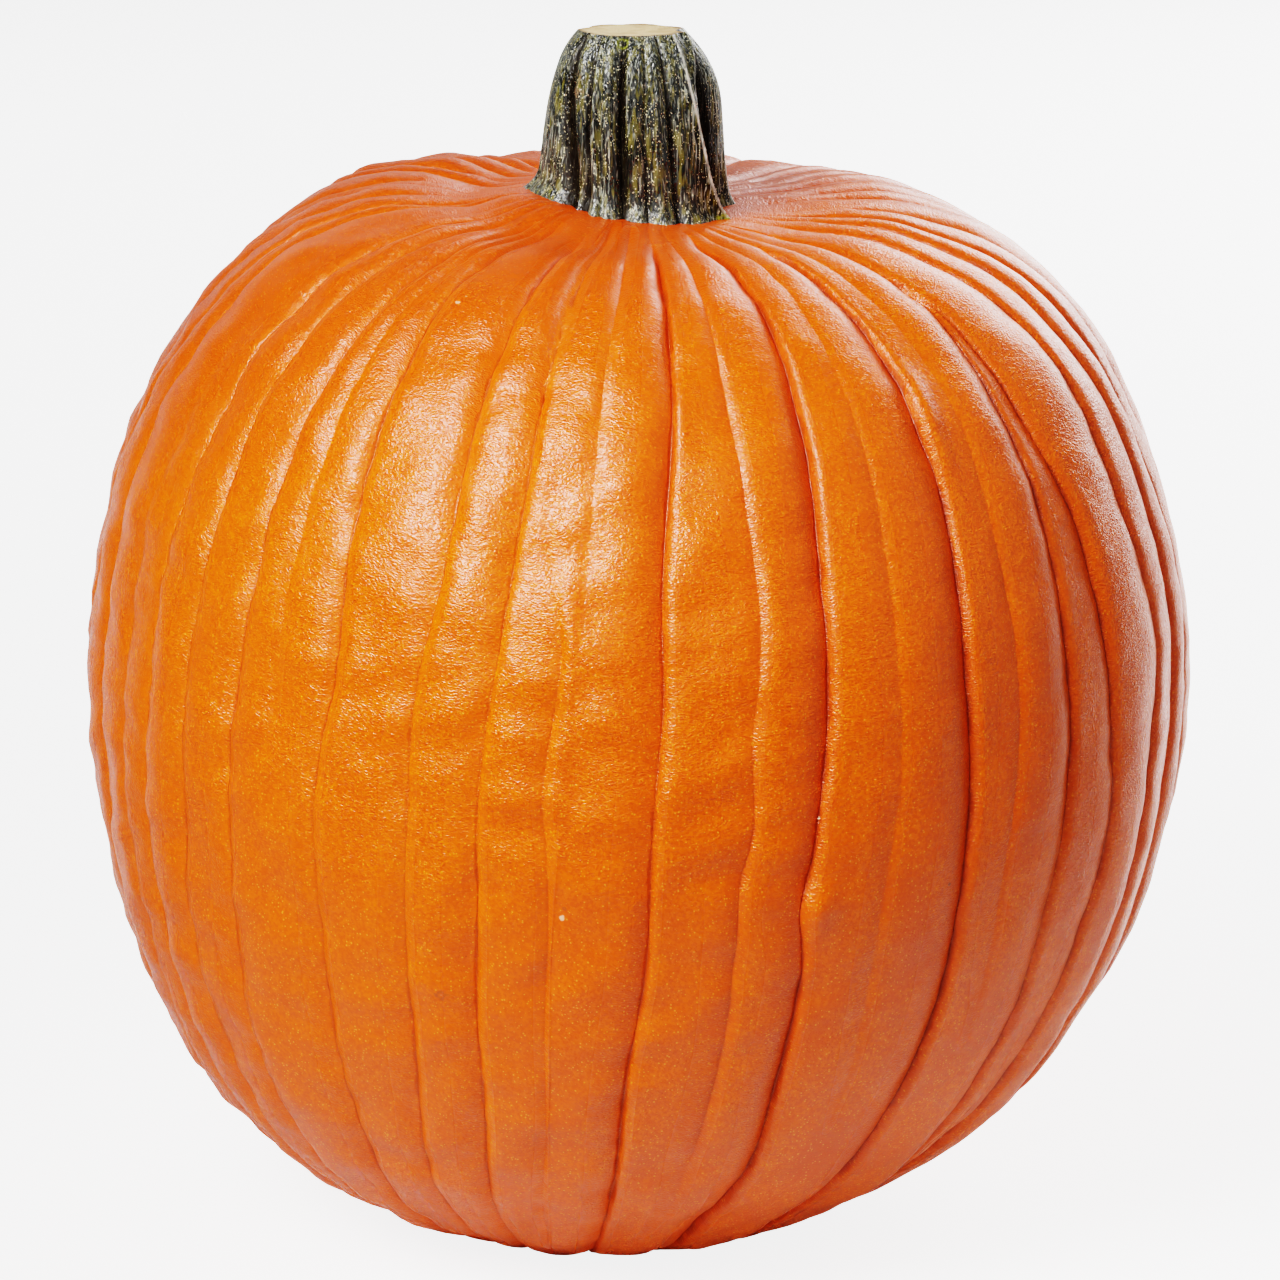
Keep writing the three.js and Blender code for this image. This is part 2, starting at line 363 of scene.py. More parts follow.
@dataclass(frozen=True)
class Effects:
    """The node groups that the finishes share."""

    crinkle: bpy.types.NodeTree
    speckle: bpy.types.NodeTree
    mottle: bpy.types.NodeTree
    spot: bpy.types.NodeTree

    @classmethod
    def build(cls) -> "Effects":
        """Builds every group once."""
        return cls(cls._crinkle(), cls._speckle(), cls._mottle(), cls._spot())

    @staticmethod
    def _crinkle() -> bpy.types.NodeTree:
        """Fine skin folds with sharp valleys: a height from 0 to 1.

        Returns:
            The node group.
        """
        sheet, given = new_group("crinkle", ("Vector",), {"Scale": 700.0, "Width": 0.13},
                                 ("Height",))
        fold = sheet.noise(given["Vector"], given["Scale"], 1.0)
        valley = sheet.math("ABSOLUTE", sheet.math("SUBTRACT", fold, 0.5))
        height = sheet.math("DIVIDE", valley, given["Width"], clamp=True)
        sheet.add("NodeGroupOutput", {"Height": height})
        return sheet.tree

    @staticmethod
    def _speckle() -> bpy.types.NodeTree:
        """Round specks, one in each cell of a net, and a chance of its own for each.

        Returns:
            The node group.
        """
        sheet, given = new_group("speckle", ("Vector",), {"Scale": 700.0, "Size": 0.3},
                                 ("Mask", "Chance"))
        cells = sheet.add("ShaderNodeTexVoronoi", {"Vector": given["Vector"],
                                                   "Scale": given["Scale"]}, feature="F1")
        draws = sheet.add("ShaderNodeSeparateColor", {0: cells.outputs["Color"]})
        reach = sheet.times(given["Size"], sheet.math("MULTIPLY_ADD", draws.outputs[1], 0.7, 0.45))
        inside = sheet.math("SUBTRACT", 1.0, sheet.math("DIVIDE", cells.outputs["Distance"], reach),
                            clamp=True)
        sheet.add("NodeGroupOutput", {"Mask": sheet.ramp(inside, 0.0, 0.55),
                                      "Chance": draws.outputs[0]})
        return sheet.tree

    @staticmethod
    def _mottle() -> bpy.types.NodeTree:
        """Soft uneven patches between 0 and 1.

        Returns:
            The node group.
        """
        sheet, given = new_group("mottle", ("Vector",),
                                 {"Scale": 30.0, "Level": 0.5, "Softness": 0.2}, ("Mask",))
        cloud = sheet.noise(given["Vector"], given["Scale"], 1.0, 0.55)
        low = sheet.math("SUBTRACT", given["Level"], given["Softness"])
        high = sheet.math("ADD", given["Level"], given["Softness"])
        sheet.add("NodeGroupOutput", {"Mask": sheet.ramp(cloud, low, high)})
        return sheet.tree

    @staticmethod
    def _spot() -> bpy.types.NodeTree:
        """One round mark or ring about a centre, whose edge a ragged number pushes in and out.

        Returns:
            The node group.
        """
        sheet, given = new_group("spot", ("Vector", "Centre"),
                                 {"Inner": 0.0, "Outer": 0.002, "Ragged": 0.0}, ("Mask",))
        away = sheet.add("ShaderNodeVectorMath", {0: given["Vector"], 1: given["Centre"]},
                         operation="DISTANCE")
        edge = sheet.math("DIVIDE", away.outputs["Value"], given["Outer"])
        edge = sheet.math("ADD", edge, given["Ragged"])
        hole = sheet.math("DIVIDE", given["Inner"], given["Outer"])
        rise = sheet.add("ShaderNodeMapRange", {"Value": edge, "From Min": sheet.times(hole, 0.6),
                                                "From Max": sheet.math("MAXIMUM", hole, 0.001)})
        fall = sheet.ramp(edge, 0.6, 1.0, 1.0, 0.0)
        sheet.add("NodeGroupOutput", {"Mask": sheet.times(rise.outputs[0], fall)})
        return sheet.tree


Colour = tuple[float, float, float, float]


def tone(red: float, green: float, blue: float) -> Colour:
    """An opaque colour from linear red, green and blue."""
    return (red, green, blue, 1.0)


WHITE = tone(1.0, 1.0, 1.0)


@dataclass(frozen=True)
class Mottle:
    """Soft patches of a finish: waves for each metre, and the level and softness of their edge."""

    scale: float
    level: float = 0.5
    softness: float = 0.2

    def lay(self, sheet: Sheet, effects: Effects, vector: object) -> Socket:
        """The patches as a mask."""
        return sheet.group(effects.mottle, vector, Scale=self.scale, Level=self.level,
                           Softness=self.softness)["Mask"]


@dataclass(frozen=True)
class Specks:
    """Round specks of a finish: cells for each metre, and a speck's size as a share of its cell."""

    scale: float
    size: float

    def lay(self, sheet: Sheet, effects: Effects, vector: object) -> bpy.types.NodeOutputs:
        """The specks as a mask, with a chance for each."""
        return sheet.group(effects.speckle, vector, Scale=self.scale, Size=self.size)


# ---- the rind's finish


@dataclass(frozen=True)
class Blemish:
    """One small mark on the rind.

    azimuth and latitude place it; inner and outer are the radii of its ring, in millimetres, with
    inner 0 for a plain dot; colour and strength are what it does to the rind.
    """

    azimuth: float
    latitude: float
    inner: float
    outer: float
    colour: Colour
    strength: float


@dataclass(frozen=True)
class RindFinish:
    """Waxy orange rind: mottled, finely crinkled and specked. It has painted shade down its creases,
    on its furrow banks towards +X and on its upper -X shoulder, and painted light on its furrow
    banks towards -X.
    """

    amber: Colour = tone(0.86, 0.140, 0.0004)
    orange: Colour = tone(0.82, 0.120, 0.0003)
    golden: Colour = tone(0.83, 0.140, 0.0004)
    russet: Colour = tone(0.68, 0.080, 0.0004)
    painted_shading: Colour = tone(0.50, 0.056, 0.0006)      # painted shade: on the furrow banks towards +X, away from the key light, and the upper -X shoulder
    hollow: Colour = tone(0.88, 0.142, 0.0005)     # painted light: a lighter, yellower tone on the furrow banks towards -X
    bruise: Colour = tone(0.50, 0.052, 0.003)
    # painted shade: the thin dark line down the bottom of each crease
    crease: Colour = tone(0.25, 0.022, 0.001)
    fleck: Colour = tone(0.96, 0.36, 0.040)
    freckle: Colour = tone(0.32, 0.030, 0.002)
    scar: Colour = tone(0.40, 0.27, 0.13)
    clouds: Mottle = Mottle(30.0)
    grain: Mottle = Mottle(380.0)
    stains: Mottle = Mottle(60.0, 0.56, 0.14)
    flecks: Specks = Specks(1000.0, 0.33)
    dots: Specks = Specks(95.0, 0.036)
    roughness: float = 0.27
    crease_width: float = 0.8      # the widths and heights here are in millimetres
    fold_height: float = 0.095
    pebble_height: float = 0.28
    crease_height: float = 0.20
    scar_radius: float = 10.0
    fold_scale: float = 700.0      # the scales are in waves for each metre
    fold_width: float = 0.19
    pebble_scale: float = 180.0
    dust_scale: float = 1050.0
    break_scale: float = 110.0
    frayed_scale: float = 600.0

    def material(self, effects: Effects, marks: list[tuple[Vector, Blemish]],
                 scar_centre: Vector) -> bpy.types.Material:
        """Builds the material.

        Args:
            effects: The shared node groups.
            marks: The blemishes with the places of their centres.
            scar_centre: Middle of the blossom-end scar.

        Returns:
            The rind's material.
        """
        material, sheet, place = new_material("waxy_rind")
        x, y, z = sheet.axes(place)
        layer = {item: sheet.layer(item) for item in FRUIT_LAYERS}
        skin = sheet.add("ShaderNodeCombineXYZ", {0: x, 1: y, 2: layer[Layer.ARC]}).outputs[0]
        line = self._crease_shade_line(sheet, skin, layer)
        # the banks beside the deeper creases: they get painted shading, and are a little rougher
        painted_shading = sheet.times(sheet.ramp(layer[Layer.CREASE], 0.4, 3.5, 1.0, 0.0),
                            layer[Layer.GROOVE])
        painted_shading = sheet.math("MAXIMUM", painted_shading, layer[Layer.BANK])

        colour = self._broad_tones(sheet, effects, skin, x, z)
        # painted light on the banks towards -X and painted shade on those towards +X, away from the
        # key light
        deep = sheet.mix(sheet.ramp(x, -0.03, 0.02), self.hollow, self.painted_shading)
        colour = sheet.mix(sheet.times(painted_shading, 0.42), colour, deep)
        colour = self._specks(sheet, effects, skin, z, colour)
        # painted shade down the creases, strongest towards +X, away from the key light
        shaded = sheet.ramp(x, -0.04, 0.07, 0.6, 0.95)
        colour = sheet.mix(sheet.times(line, shaded), colour, self.crease)
        push = sheet.math("MULTIPLY_ADD", sheet.noise(skin, self.frayed_scale, 1.0), 1.6, -0.8)
        for centre, mark in marks:
            mask = sheet.group(effects.spot, place, Centre=centre, Inner=mark.inner * MM,
                               Outer=mark.outer * MM, Ragged=push)["Mask"]
            colour = sheet.mix(sheet.times(mask, mark.strength), colour, mark.colour)
        scar = sheet.group(effects.spot, place, Centre=scar_centre, Inner=0.0,
                           Outer=self.scar_radius * MM, Ragged=push)["Mask"]
        colour = sheet.mix(scar, colour, self.scar)

        # Heights in millimetres: fine folds drawn out across the ribs, rounder pebbles, creases.
        across = sheet.scaled(skin, (1.0, 1.0, 1.7))
        fold = sheet.group(effects.crinkle, across, Scale=self.fold_scale,
                           Width=self.fold_width)["Height"]
        height = sheet.times(sheet.noise(across, self.pebble_scale, 2.0, 0.55), self.pebble_height)
        height = sheet.math("MULTIPLY_ADD", fold, self.fold_height, height)
        height = sheet.math("MULTIPLY_ADD", line, -self.crease_height, height)
        dull = sheet.math("MULTIPLY_ADD", painted_shading, 0.10, self.roughness)
        dull = sheet.math("MULTIPLY_ADD", scar, 0.4, dull)
        sheet.surface({"Base Color": colour, "Roughness": dull, "IOR": SKIN_IOR}, (height, MM))
        return material

    def _crease_shade_line(self, sheet: Sheet, skin: Socket,
                     layer: dict[Layer, Socket]) -> Socket:
        """Mask of the thin broken line of painted shade down the bottom of each furrow.

        Args:
            sheet: The material's sheet.
            skin: Places on the skin.
            layer: The values kept on the vertices.

        Returns:
            The mask.
        """
        broken = sheet.ramp(sheet.noise(skin, self.break_scale, 1.0, 0.6), 0.35, 0.65, 0.35, 1.25)
        share = sheet.math("DIVIDE", layer[Layer.CREASE], sheet.times(broken, self.crease_width))
        line = sheet.math("SUBTRACT", 1.0, share, clamp=True)
        return sheet.times(line, sheet.ramp(layer[Layer.GROOVE], 0.25, 0.95))

    def _broad_tones(self, sheet: Sheet, effects: Effects, skin: Socket,
                     x: Socket, z: Socket) -> Socket:
        """Amber and russet clouds drawn out along the ribs, the golden lower +X cheek, and painted
        shade on the upper -X shoulder.

        Args:
            sheet: The material's sheet.
            effects: The shared node groups.
            skin: Places on the skin.
            x: Their X on the object.
            z: Their height.

        Returns:
            The colour.
        """
        along = sheet.scaled(skin, (1.0, 1.0, 0.4))
        cloud = self.clouds.lay(sheet, effects, along)
        grain = self.grain.lay(sheet, effects, skin)
        stain = self.stains.lay(sheet, effects, along)
        cheek = sheet.ramp(sheet.math("MULTIPLY_ADD", z, -0.35, x), -0.066, 0.034)
        # painted shade on the upper -X shoulder, which faces the key light
        shoulder_shade = sheet.ramp(sheet.math("MULTIPLY_ADD", x, -0.3, z), 0.252, 0.30, 0.0, 0.75)
        low = sheet.ramp(z, 0.05, 0.24, 1.0, 0.25)
        stain = sheet.times(stain, sheet.math("MULTIPLY_ADD", cheek, 0.35, 0.10))
        dust = sheet.ramp(sheet.noise(skin, self.dust_scale, 1.0), 0.40, 0.60, 0.0, 0.75)
        return sheet.washes(self.orange, (sheet.times(cloud, 0.5), self.amber),
                            (sheet.times(cheek, 0.8), self.golden), (shoulder_shade, self.painted_shading),
                            (sheet.times(stain, low), self.bruise),
                            (sheet.times(grain, 0.42), self.russet), (dust, self.russet))

    def _specks(self, sheet: Sheet, effects: Effects, skin: Socket,
                z: Socket, colour: Socket) -> Socket:
        """Tiny pale flecks all over, thickest low down, with fewer bigger ones and dark freckles.

        Args:
            sheet: The material's sheet.
            effects: The shared node groups.
            skin: Places on the skin.
            z: Their height.
            colour: The colour under them.

        Returns:
            The colour with its specks.
        """
        fine = self.flecks.lay(sheet, effects, skin)
        picked = sheet.times(fine["Mask"], sheet.math("LESS_THAN", fine["Chance"], 0.75))
        fleck = sheet.times(picked, sheet.ramp(z, 0.05, 0.26, 0.7, 0.3))
        big = self.dots.lay(sheet, effects, skin)
        pale = sheet.times(big["Mask"], sheet.math("LESS_THAN", big["Chance"], 0.16))
        dark = sheet.times(big["Mask"], sheet.math("GREATER_THAN", big["Chance"], 0.7))
        return sheet.washes(colour, (fleck, self.fleck), (sheet.times(pale, 0.7), self.fleck),
                            (sheet.times(dark, 0.6), self.freckle))


# ---- the fruit


@dataclass(frozen=True)
class Furrow:
    """One furrow of the fruit.

    azimuth is its place and depth its depth in millimetres; up and down are its drifts in degrees
    towards the stem end and the blossom end; low and high are the latitudes that it reaches; skew
    is how much gentler its -X bank is than its +X bank, from -1 to 1.
    """

    azimuth: float
    depth: float
    up: float
    down: float
    low: float = -90.0
    high: float = 90.0
    skew: float = 0.4


@dataclass(frozen=True)
class Kink:
    """A short sideways step in a furrow's path, in degrees, with a swelling beside it in mm."""

    furrow: float
    latitude: float
    shift: float
    spread: float
    swelling: float = 0.0


FRONT_FURROWS = (
    Furrow(-73.5, 2.4, -4, 1, skew=0.3), Furrow(-65, 1.3, 1, 4, high=35, skew=0.2),
    Furrow(-59.3, 2.2, 1.5, 2.5, skew=0.3), Furrow(-51.4, 2.1, 1, 3, skew=0.35),
    Furrow(-43.6, 2.4, 1.5, 3, skew=0.35), Furrow(-37.5, 0.8, 0, 2, low=20),
    Furrow(-30.6, 2.4, -2, 2, skew=0.25), Furrow(-20.3, 2.3, 1.5, 0, skew=0.3),
    Furrow(-12.5, 2.4, 1.5, 1, skew=0.4), Furrow(-5, 1.5, -10, 0.5, low=-48, high=32, skew=0.1),
    Furrow(-4, 1.1, 1, 0, low=38, skew=0), Furrow(4.6, 2.9, 0.8, -0.5, skew=0.7),
    Furrow(14.4, 1.6, -2.5, -5, low=-42, high=66, skew=0.5), Furrow(21.3, 3.5, 1, -0.5, skew=0.8),
    Furrow(29, 0.9, -0.5, 0, low=-20, high=55), Furrow(38.3, 3.5, -1, -1.5, skew=0.8),
    Furrow(43.6, 1, -1, 0, low=-12, high=60), Furrow(51.5, 2.4, 0.5, -0.5, skew=0.6),
    Furrow(59.6, 2.6, -8, -4.5, low=-62, high=58, skew=0.55), Furrow(69.2, 2.3, -2.5, -1, skew=0.5),
    Furrow(77, 2.6, -1, -1, skew=0.6),
)

KINKS = (
    Kink(21.3, 1, -0.9, 3.4, 2.2), Kink(38.3, 46, -0.9, 4.5, 2.0), Kink(-5, 26, 0.9, 6, 0.5),
    Kink(-5, 12, -0.5, 5), Kink(14.4, 30, 0.7, 7, 0.5), Kink(14.4, 17, -0.7, 5, 0.6),
    Kink(14.4, 4, -0.6, 4, 0.4), Kink(4.6, 22, 0.35, 5, 0.4), Kink(59.6, 34, 0.8, 6, 0.5),
    Kink(38.3, 12, 0.3, 5), Kink(-20.3, 30, 0.6, 7, 0.5), Kink(-43.6, 30, 0.6, 9, 0.4),
    Kink(-30.6, 20, 0.5, 6, 0.4), Kink(69.2, 20, 0.7, 7), Kink(-12.5, 40, 0.4, 7, 0.4),
)

PALE_SCAR = tone(0.85, 0.62, 0.40)
BROWN_MARK = tone(0.33, 0.07, 0.015)
BLEMISHES = (
    Blemish(-16.2, -10.8, 1.1, 2.1, BROWN_MARK, 0.55), Blemish(-16.2, -10.8, 0, 0.8, PALE_SCAR, 0.4),
    Blemish(-3.8, -0.1, 0, 1.0, PALE_SCAR, 0.6), Blemish(-3.5, 0.9, 0, 0.6, BROWN_MARK, 0.6),
    Blemish(-7.7, -9.2, 0, 0.6, BROWN_MARK, 0.5), Blemish(36.2, 2.4, 0, 0.7, BROWN_MARK, 0.8),
    Blemish(-29.8, 56.5, 0, 0.9, PALE_SCAR, 0.5), Blemish(-29.2, 57.4, 0, 0.6, PALE_SCAR, 0.4),
    Blemish(21.2, 10.6, 0, 0.8, PALE_SCAR, 0.7), Blemish(54.6, 31.3, 0, 0.9, PALE_SCAR, 0.8),
    Blemish(-15.6, 37.6, 0, 0.5, BROWN_MARK, 0.7), Blemish(95, 20, 0.6, 1.5, BROWN_MARK, 0.5),
    Blemish(140, -8, 0, 1.1, PALE_SCAR, 0.6), Blemish(190, 30, 0, 0.9, BROWN_MARK, 0.6),
    Blemish(232, 5, 1.0, 2.0, BROWN_MARK, 0.5), Blemish(262, -20, 0, 0.9, PALE_SCAR, 0.6),
)


@dataclass
class Fruit:
    """The ribbed fruit, leaning a little, flat where it rests and round its stem's seat."""

    heart: float = 135.0              # all heights and radii here are in millimetres
    profile: tuple[tuple[float, float], ...] = (
        (0, 6), (15, 3.4), (31, 0), (60, 5), (93, 23), (119, 48), (137.5, 83), (149, 127),
        (151.5, 170), (144.5, 213), (126, 252.7), (100, 277.4), (71, 287.1), (46, 287.2),
        (26, 287.2), (0, 287.6))
    tilt: float = 3.6                 # degrees
    side_swell: float = 0.05          # how much fuller the fruit is towards +X
    base_trim: float = 4.0            # how much of its lowest part is flat on the ground
    seat_height: float = 289.1
    seat_slope: float = 8.0           # degrees that the stem's seat falls towards +X
    seat_pitch: float = -0.5          # and towards +Y
    seat_from: float = 29.0           # radius up to which the seat is plain
    seat_to: float = 52.0             # and from which there is none
    stem_offset: tuple[float, float] = (-1.5, 0.0)
    apron: float = 4.5                # degrees, half the width of a furrow's wide soft part
    steep_reach: float = 0.2          # degrees that a steep bank takes
    gentle_more: float = 1.6          # and how many more a gentle one takes
    bank_turn: float = 0.3            # degrees over which one bank turns into the other
    bank_spread: float = 2.3          # degrees that the painted shading of a long bank takes
    pillow_power: float = 1.3         # how round a gentle bank is
    crease_share: float = 0.72        # share of a furrow's depth that its sharp part has
    full_depth: float = 3.2           # depth of a furrow whose painted shading, in its crease and on its banks, is full
    lip: float = 0.08                 # height of the small lip on a furrow's steep bank
    lip_reach: float = 1.9            # how far it is from the crease
    lip_depth: float = 2.4            # and the depth of a furrow that has it in full
    lip_radii: Span = (50, 90)        # radii between which the lips begin
    kink_offset: float = 1.7          # degrees from a crease to the swelling beside its kink
    kink_spread: float = 1.4
    path_waves: tuple[tuple[float, ...], ...] = ((0.35, 9.0, 1.0), (0.2, 4.3, 2.0))
    depth_waves: tuple[tuple[float, ...], ...] = ((0.16, 12.0, 1.0), (0.1, 5.1, 1.9))
    full_depth_from: float = 95.0     # radius from which the furrows have their depth
    pleats_from: float = 21.0         # radius where the longest furrows end beside the stem
    pleat_scatter: float = 30.0       # how much sooner others end
    plain_side: float = 24.0          # and how much sooner again at the -X side
    plain_at: float = -100.0          # azimuth of the middle of that side
    plain_spread: float = 45.0
    plain_pole: float = 30.0          # radius within which all relief fades to the pole
    pleat_fade: float = 13.0
    pleat_reach: float = 20.0         # how much nearer the stem they keep their depth
    pleat_swelling: float = 0.45      # how much fuller the ribs are there
    pleats_in: Span = (24, 40)        # radii between which that begins
    pleats_out: Span = (60, 105)      # and ends
    rib_rise: float = 1.3             # how much the ribs differ in height
    ribs_in: Span = (40, 100)
    broad_dents: float = 1.0          # heights of the dents of three sizes
    small_dents: float = 1.25
    fine_dents: float = 0.36
    calm_from: Span = (30.0, 75.0)    # places along +X between which the smaller ones get low
    calm_share: float = 0.6
    dents_in: Span = (22, 34)         # radii between which dents begin
    dents_full: Span = (45, 95)       # and get their full height
    near_dents: float = 0.35          # share of it that they have before
    fade: float = 14.0                # degrees of latitude over which a short furrow ends
    drift_latitude: float = 60.0      # latitude where a furrow has drifted in full
    swells: tuple[tuple[float, float, float, float], ...] = (  # azimuth, latitude, spread, rise
        (-50, -44, 24, 1.8), (42, -42, 24, -2), (76, 62, 22, 2.4), (88, -8, 26, 2.2),
        (84, 36, 18, -1.5), (118, 60, 22, 1.0), (-125, 56, 9, 2.2), (-147, 64, 7, -1.2),
        (-100, 44, 14, -1.2), (8, 12, 40, 1), (-112, 75, 6, -2.4), (-62, 75, 6, 1.2),
        (155, 66, 9, -1.8), (-155, 66, 9, -1.2), (128, 60, 8, 1.4), (150, 20, 45, 2),
        (215, -25, 40, -2), (100, -42, 26, -2.0))
    back: tuple[float, float, int] = (85.5, 278.5, 23)   # first and last hidden furrow, and count
    rows: int = 160
    fine_rows: int = 1200             # for looking up one point of the skin
    column_shares: tuple[float, ...] = (
        0, 0.02, 0.05, 0.09, 0.145, 0.22, 0.33, 0.5, 0.67, 0.78, 0.855, 0.91, 0.95, 0.98)
    finish: RindFinish = field(default_factory=RindFinish)

    def __post_init__(self) -> None:
        """Works out the furrows, the top of the axis and the foot of the stem."""
        self.furrows = self._all_furrows()
        self.axis_top = self.stand(np.zeros(1), np.zeros(1), np.array([self.seat_height]))[0]
        self.stem_foot = self.axis_top[:2] + np.array(self.stem_offset)
        self.shift = np.zeros(2)

    def _all_furrows(self) -> list[Furrow]:
        """Adds the furrows of the back to those of the front.

        Returns:
            Every furrow, in order of azimuth.
        """
        start, end, count = self.back
        step = (end - start) / (count - 1)
        hidden = [Furrow(azimuth=start + (i + 0.5 * (draw(i) - 0.5)) * step,
                         depth=(1.4 if i % 3 == 1 else 2.3) + draw(i + 40),
                         up=3 * (draw(i + 80) - 0.5), down=3 * (draw(i + 120) - 0.5),
                         skew=1.2 * (draw(i + 160) - 0.5))
                  for i in range(count)]
        return [*FRONT_FURROWS, *hidden]

    # ---- shape

    def crease_azimuth(self, furrow: Furrow, latitude: Array) -> Array:
        """Azimuth of a furrow's crease.

        Args:
            furrow: The furrow.
            latitude: Latitudes.

        Returns:
            The azimuth at each latitude.
        """
        share = np.minimum(1.0, np.abs(latitude) / self.drift_latitude) ** 2
        drift = np.where(latitude > 0, furrow.up, furrow.down) * share
        aside = waver(0.0, latitude, furrow.azimuth * 1.7, self.path_waves)
        path = furrow.azimuth + drift + aside * np.cos(np.radians(latitude))
        for kink in KINKS:
            if kink.furrow == furrow.azimuth:
                path = path + kink.shift * bell(latitude - kink.latitude, kink.spread)
        return path

    def crease_depth(self, furrow: Furrow, latitude: Array, radius: Array) -> Array:
        """Depth of a furrow along its path.

        Args:
            furrow: The furrow.
            latitude: Latitudes.
            radius: Distance from the axis at each latitude, in millimetres.

        Returns:
            The depth at each latitude, in millimetres.
        """
        lower = smoothstep(latitude, furrow.low - self.fade, furrow.low + self.fade)
        upper = 1 - smoothstep(latitude, furrow.high - self.fade, furrow.high + self.fade)
        end = self.pleats_from + self.pleat_scatter * draw(furrow.azimuth, 3.0)
        end += self.plain_side * bell(turn(self.plain_at, furrow.azimuth), self.plain_spread)
        seat = np.where(latitude > 0, smoothstep(radius, end, end + self.pleat_fade), 1.0)
        uneven = waver(1.0, latitude, furrow.azimuth * 2.3, self.depth_waves)
        depth = furrow.depth * lower * upper * seat * uneven
        closing = np.where(latitude > 0, radius + self.pleat_reach, radius)
        return depth * np.minimum(1.0, closing / self.full_depth_from)

    def off_crease(self, furrow: Furrow, azimuth: Array, latitude: Array) -> Array:
        """Degrees from a furrow's crease, shaped as the azimuths."""
        return turn(self.crease_azimuth(furrow, latitude)[:, None], azimuth)

    def relief(self, azimuth: Array, latitude: Array, radius: Array,
               ) -> tuple[Array, Array, Array, Array]:
        """Height of the skin over the plain profile.

        Args:
            azimuth: Azimuths, shaped (rows, columns).
            latitude: Latitude of each row.
            radius: Radius of each row, in millimetres.

        Returns:
            The height, the distance to the nearest crease, that crease's share of a full depth
            and the share of a long bank, all shaped (rows, columns), lengths in millimetres.
        """
        height = np.zeros_like(azimuth)
        nearest = np.full_like(azimuth, 1e3)
        strength = np.zeros_like(azimuth)
        long_bank = np.zeros_like(azimuth)
        to_mm = (np.radians(1.0) * radius)[:, None]
        for furrow in self.furrows:
            depth = self.crease_depth(furrow, latitude, radius)[:, None]
            off = self.off_crease(furrow, azimuth, latitude)
            away = np.abs(off) * to_mm
            soft = 0.5 - 0.5 * furrow.skew * np.tanh(off / self.bank_turn)
            reach = self.steep_reach + self.gentle_more * soft
            pillow = np.exp(-(np.abs(off) / reach) ** self.pillow_power)
            narrow = (1 - soft) * np.exp(-np.abs(off) / reach) + soft * pillow
            wide = bell(off, self.apron)
            height -= depth * (self.crease_share * narrow + (1 - self.crease_share) * wide)
            steep = np.maximum(0.0, 1 - 2 * soft) * np.minimum(1.0, depth / self.lip_depth)
            steep = steep * smoothstep(radius, *self.lip_radii)[:, None]
            height += self.lip * steep * bell(away - self.lip_reach, 1.0)
            gentle = np.maximum(0.0, 2 * soft - 1) * depth / self.full_depth
            long_bank = np.maximum(long_bank, gentle * bell(off, self.bank_spread))
            closer = away < nearest
            nearest = np.where(closer, away, nearest)
            strength = np.where(closer, depth / self.full_depth, strength)
        level = latitude[:, None]
        for at, middle, spread, rise in self.swells:
            sideways = turn(at, azimuth) * np.cos(np.radians(level))
            height += rise * bell(np.hypot(sideways, level - middle), spread)
        for kink in KINKS:
            furrow = next(f for f in self.furrows if f.azimuth == kink.furrow)
            off = self.off_crease(furrow, azimuth, latitude)
            beside = bell(off - self.kink_offset, self.kink_spread)
            height += kink.swelling * beside * bell(level - kink.latitude, kink.spread)
        return height, nearest, strength, long_bank

    def lean(self, out: Array, up: Array) -> tuple[Array, Array]:
        """A step out along +X and up the fruit's axis, as steps along +X and +Z."""
        angle = math.radians(self.tilt)
        return (out * math.cos(angle) + up * math.sin(angle),
                up * math.cos(angle) - out * math.sin(angle))

    def stand(self, x: Array, y: Array, height: Array) -> Array:
        """Leans points of the fruit's own frame, with heights over its profile's lowest point."""
        across, up = self.lean(x, height - self.heart)
        return np.stack([across, y + 0.0 * x, self.heart + up], -1)

    def seat_plane(self, x: Array, y: Array) -> Array:
        """Height of the stem's seat over one place, before the base is trimmed."""
        return (self.axis_top[2] - (x - self.stem_foot[0]) * math.tan(math.radians(self.seat_slope))
                - (y - self.stem_foot[1]) * math.tan(math.radians(self.seat_pitch)))

    def surface(self, azimuth: Array, curve: Array, out: Array) -> Array:
        """Places skin points from their azimuth, their profile point and their relief.

        Args:
            azimuth: Azimuths, shaped (rows, columns).
            curve: The profile, shaped (rows, 2).
            out: The relief, shaped (rows, columns).

        Returns:
            The points in millimetres, shaped (rows, columns, 3).
        """
        run = np.gradient(curve, axis=0)
        run /= np.hypot(run[:, 0], run[:, 1])[:, None]
        radius, height = curve[:, :1], curve[:, 1:]
        angle = np.radians(azimuth)
        side = 1 + self.side_swell * np.sin(angle)
        points = self.stand(radius * side * np.sin(angle), -radius * side * np.cos(angle), height)
        seat = np.where(height > self.heart, 1 - smoothstep(radius, self.seat_from, self.seat_to), 0)
        points[..., 2] += seat * (self.seat_plane(points[..., 0], points[..., 1]) - points[..., 2])
        out = out * np.minimum(1.0, radius / self.plain_pole)
        across, up = self.lean(out * run[:, 1:] * side * np.sin(angle), -out * run[:, :1])
        points[..., 0] += across
        points[..., 1] -= out * run[:, 1:] * side * np.cos(angle)
        points[..., 2] = np.maximum(0.0, points[..., 2] + up - self.base_trim)
        return points

    def profile_rows(self, rows: int) -> tuple[Array, Array, Array]:
        """The profile at even steps.

        Args:
            rows: Number of steps.

        Returns:
            Its points, shaped (rows, 2), the length along it at each of them and their latitudes.
        """
        curve, arc = even_samples(spline(list(self.profile), 40), rows)
        return curve, arc, np.degrees(np.arctan2(curve[:, 1] - self.heart, curve[:, 0]))

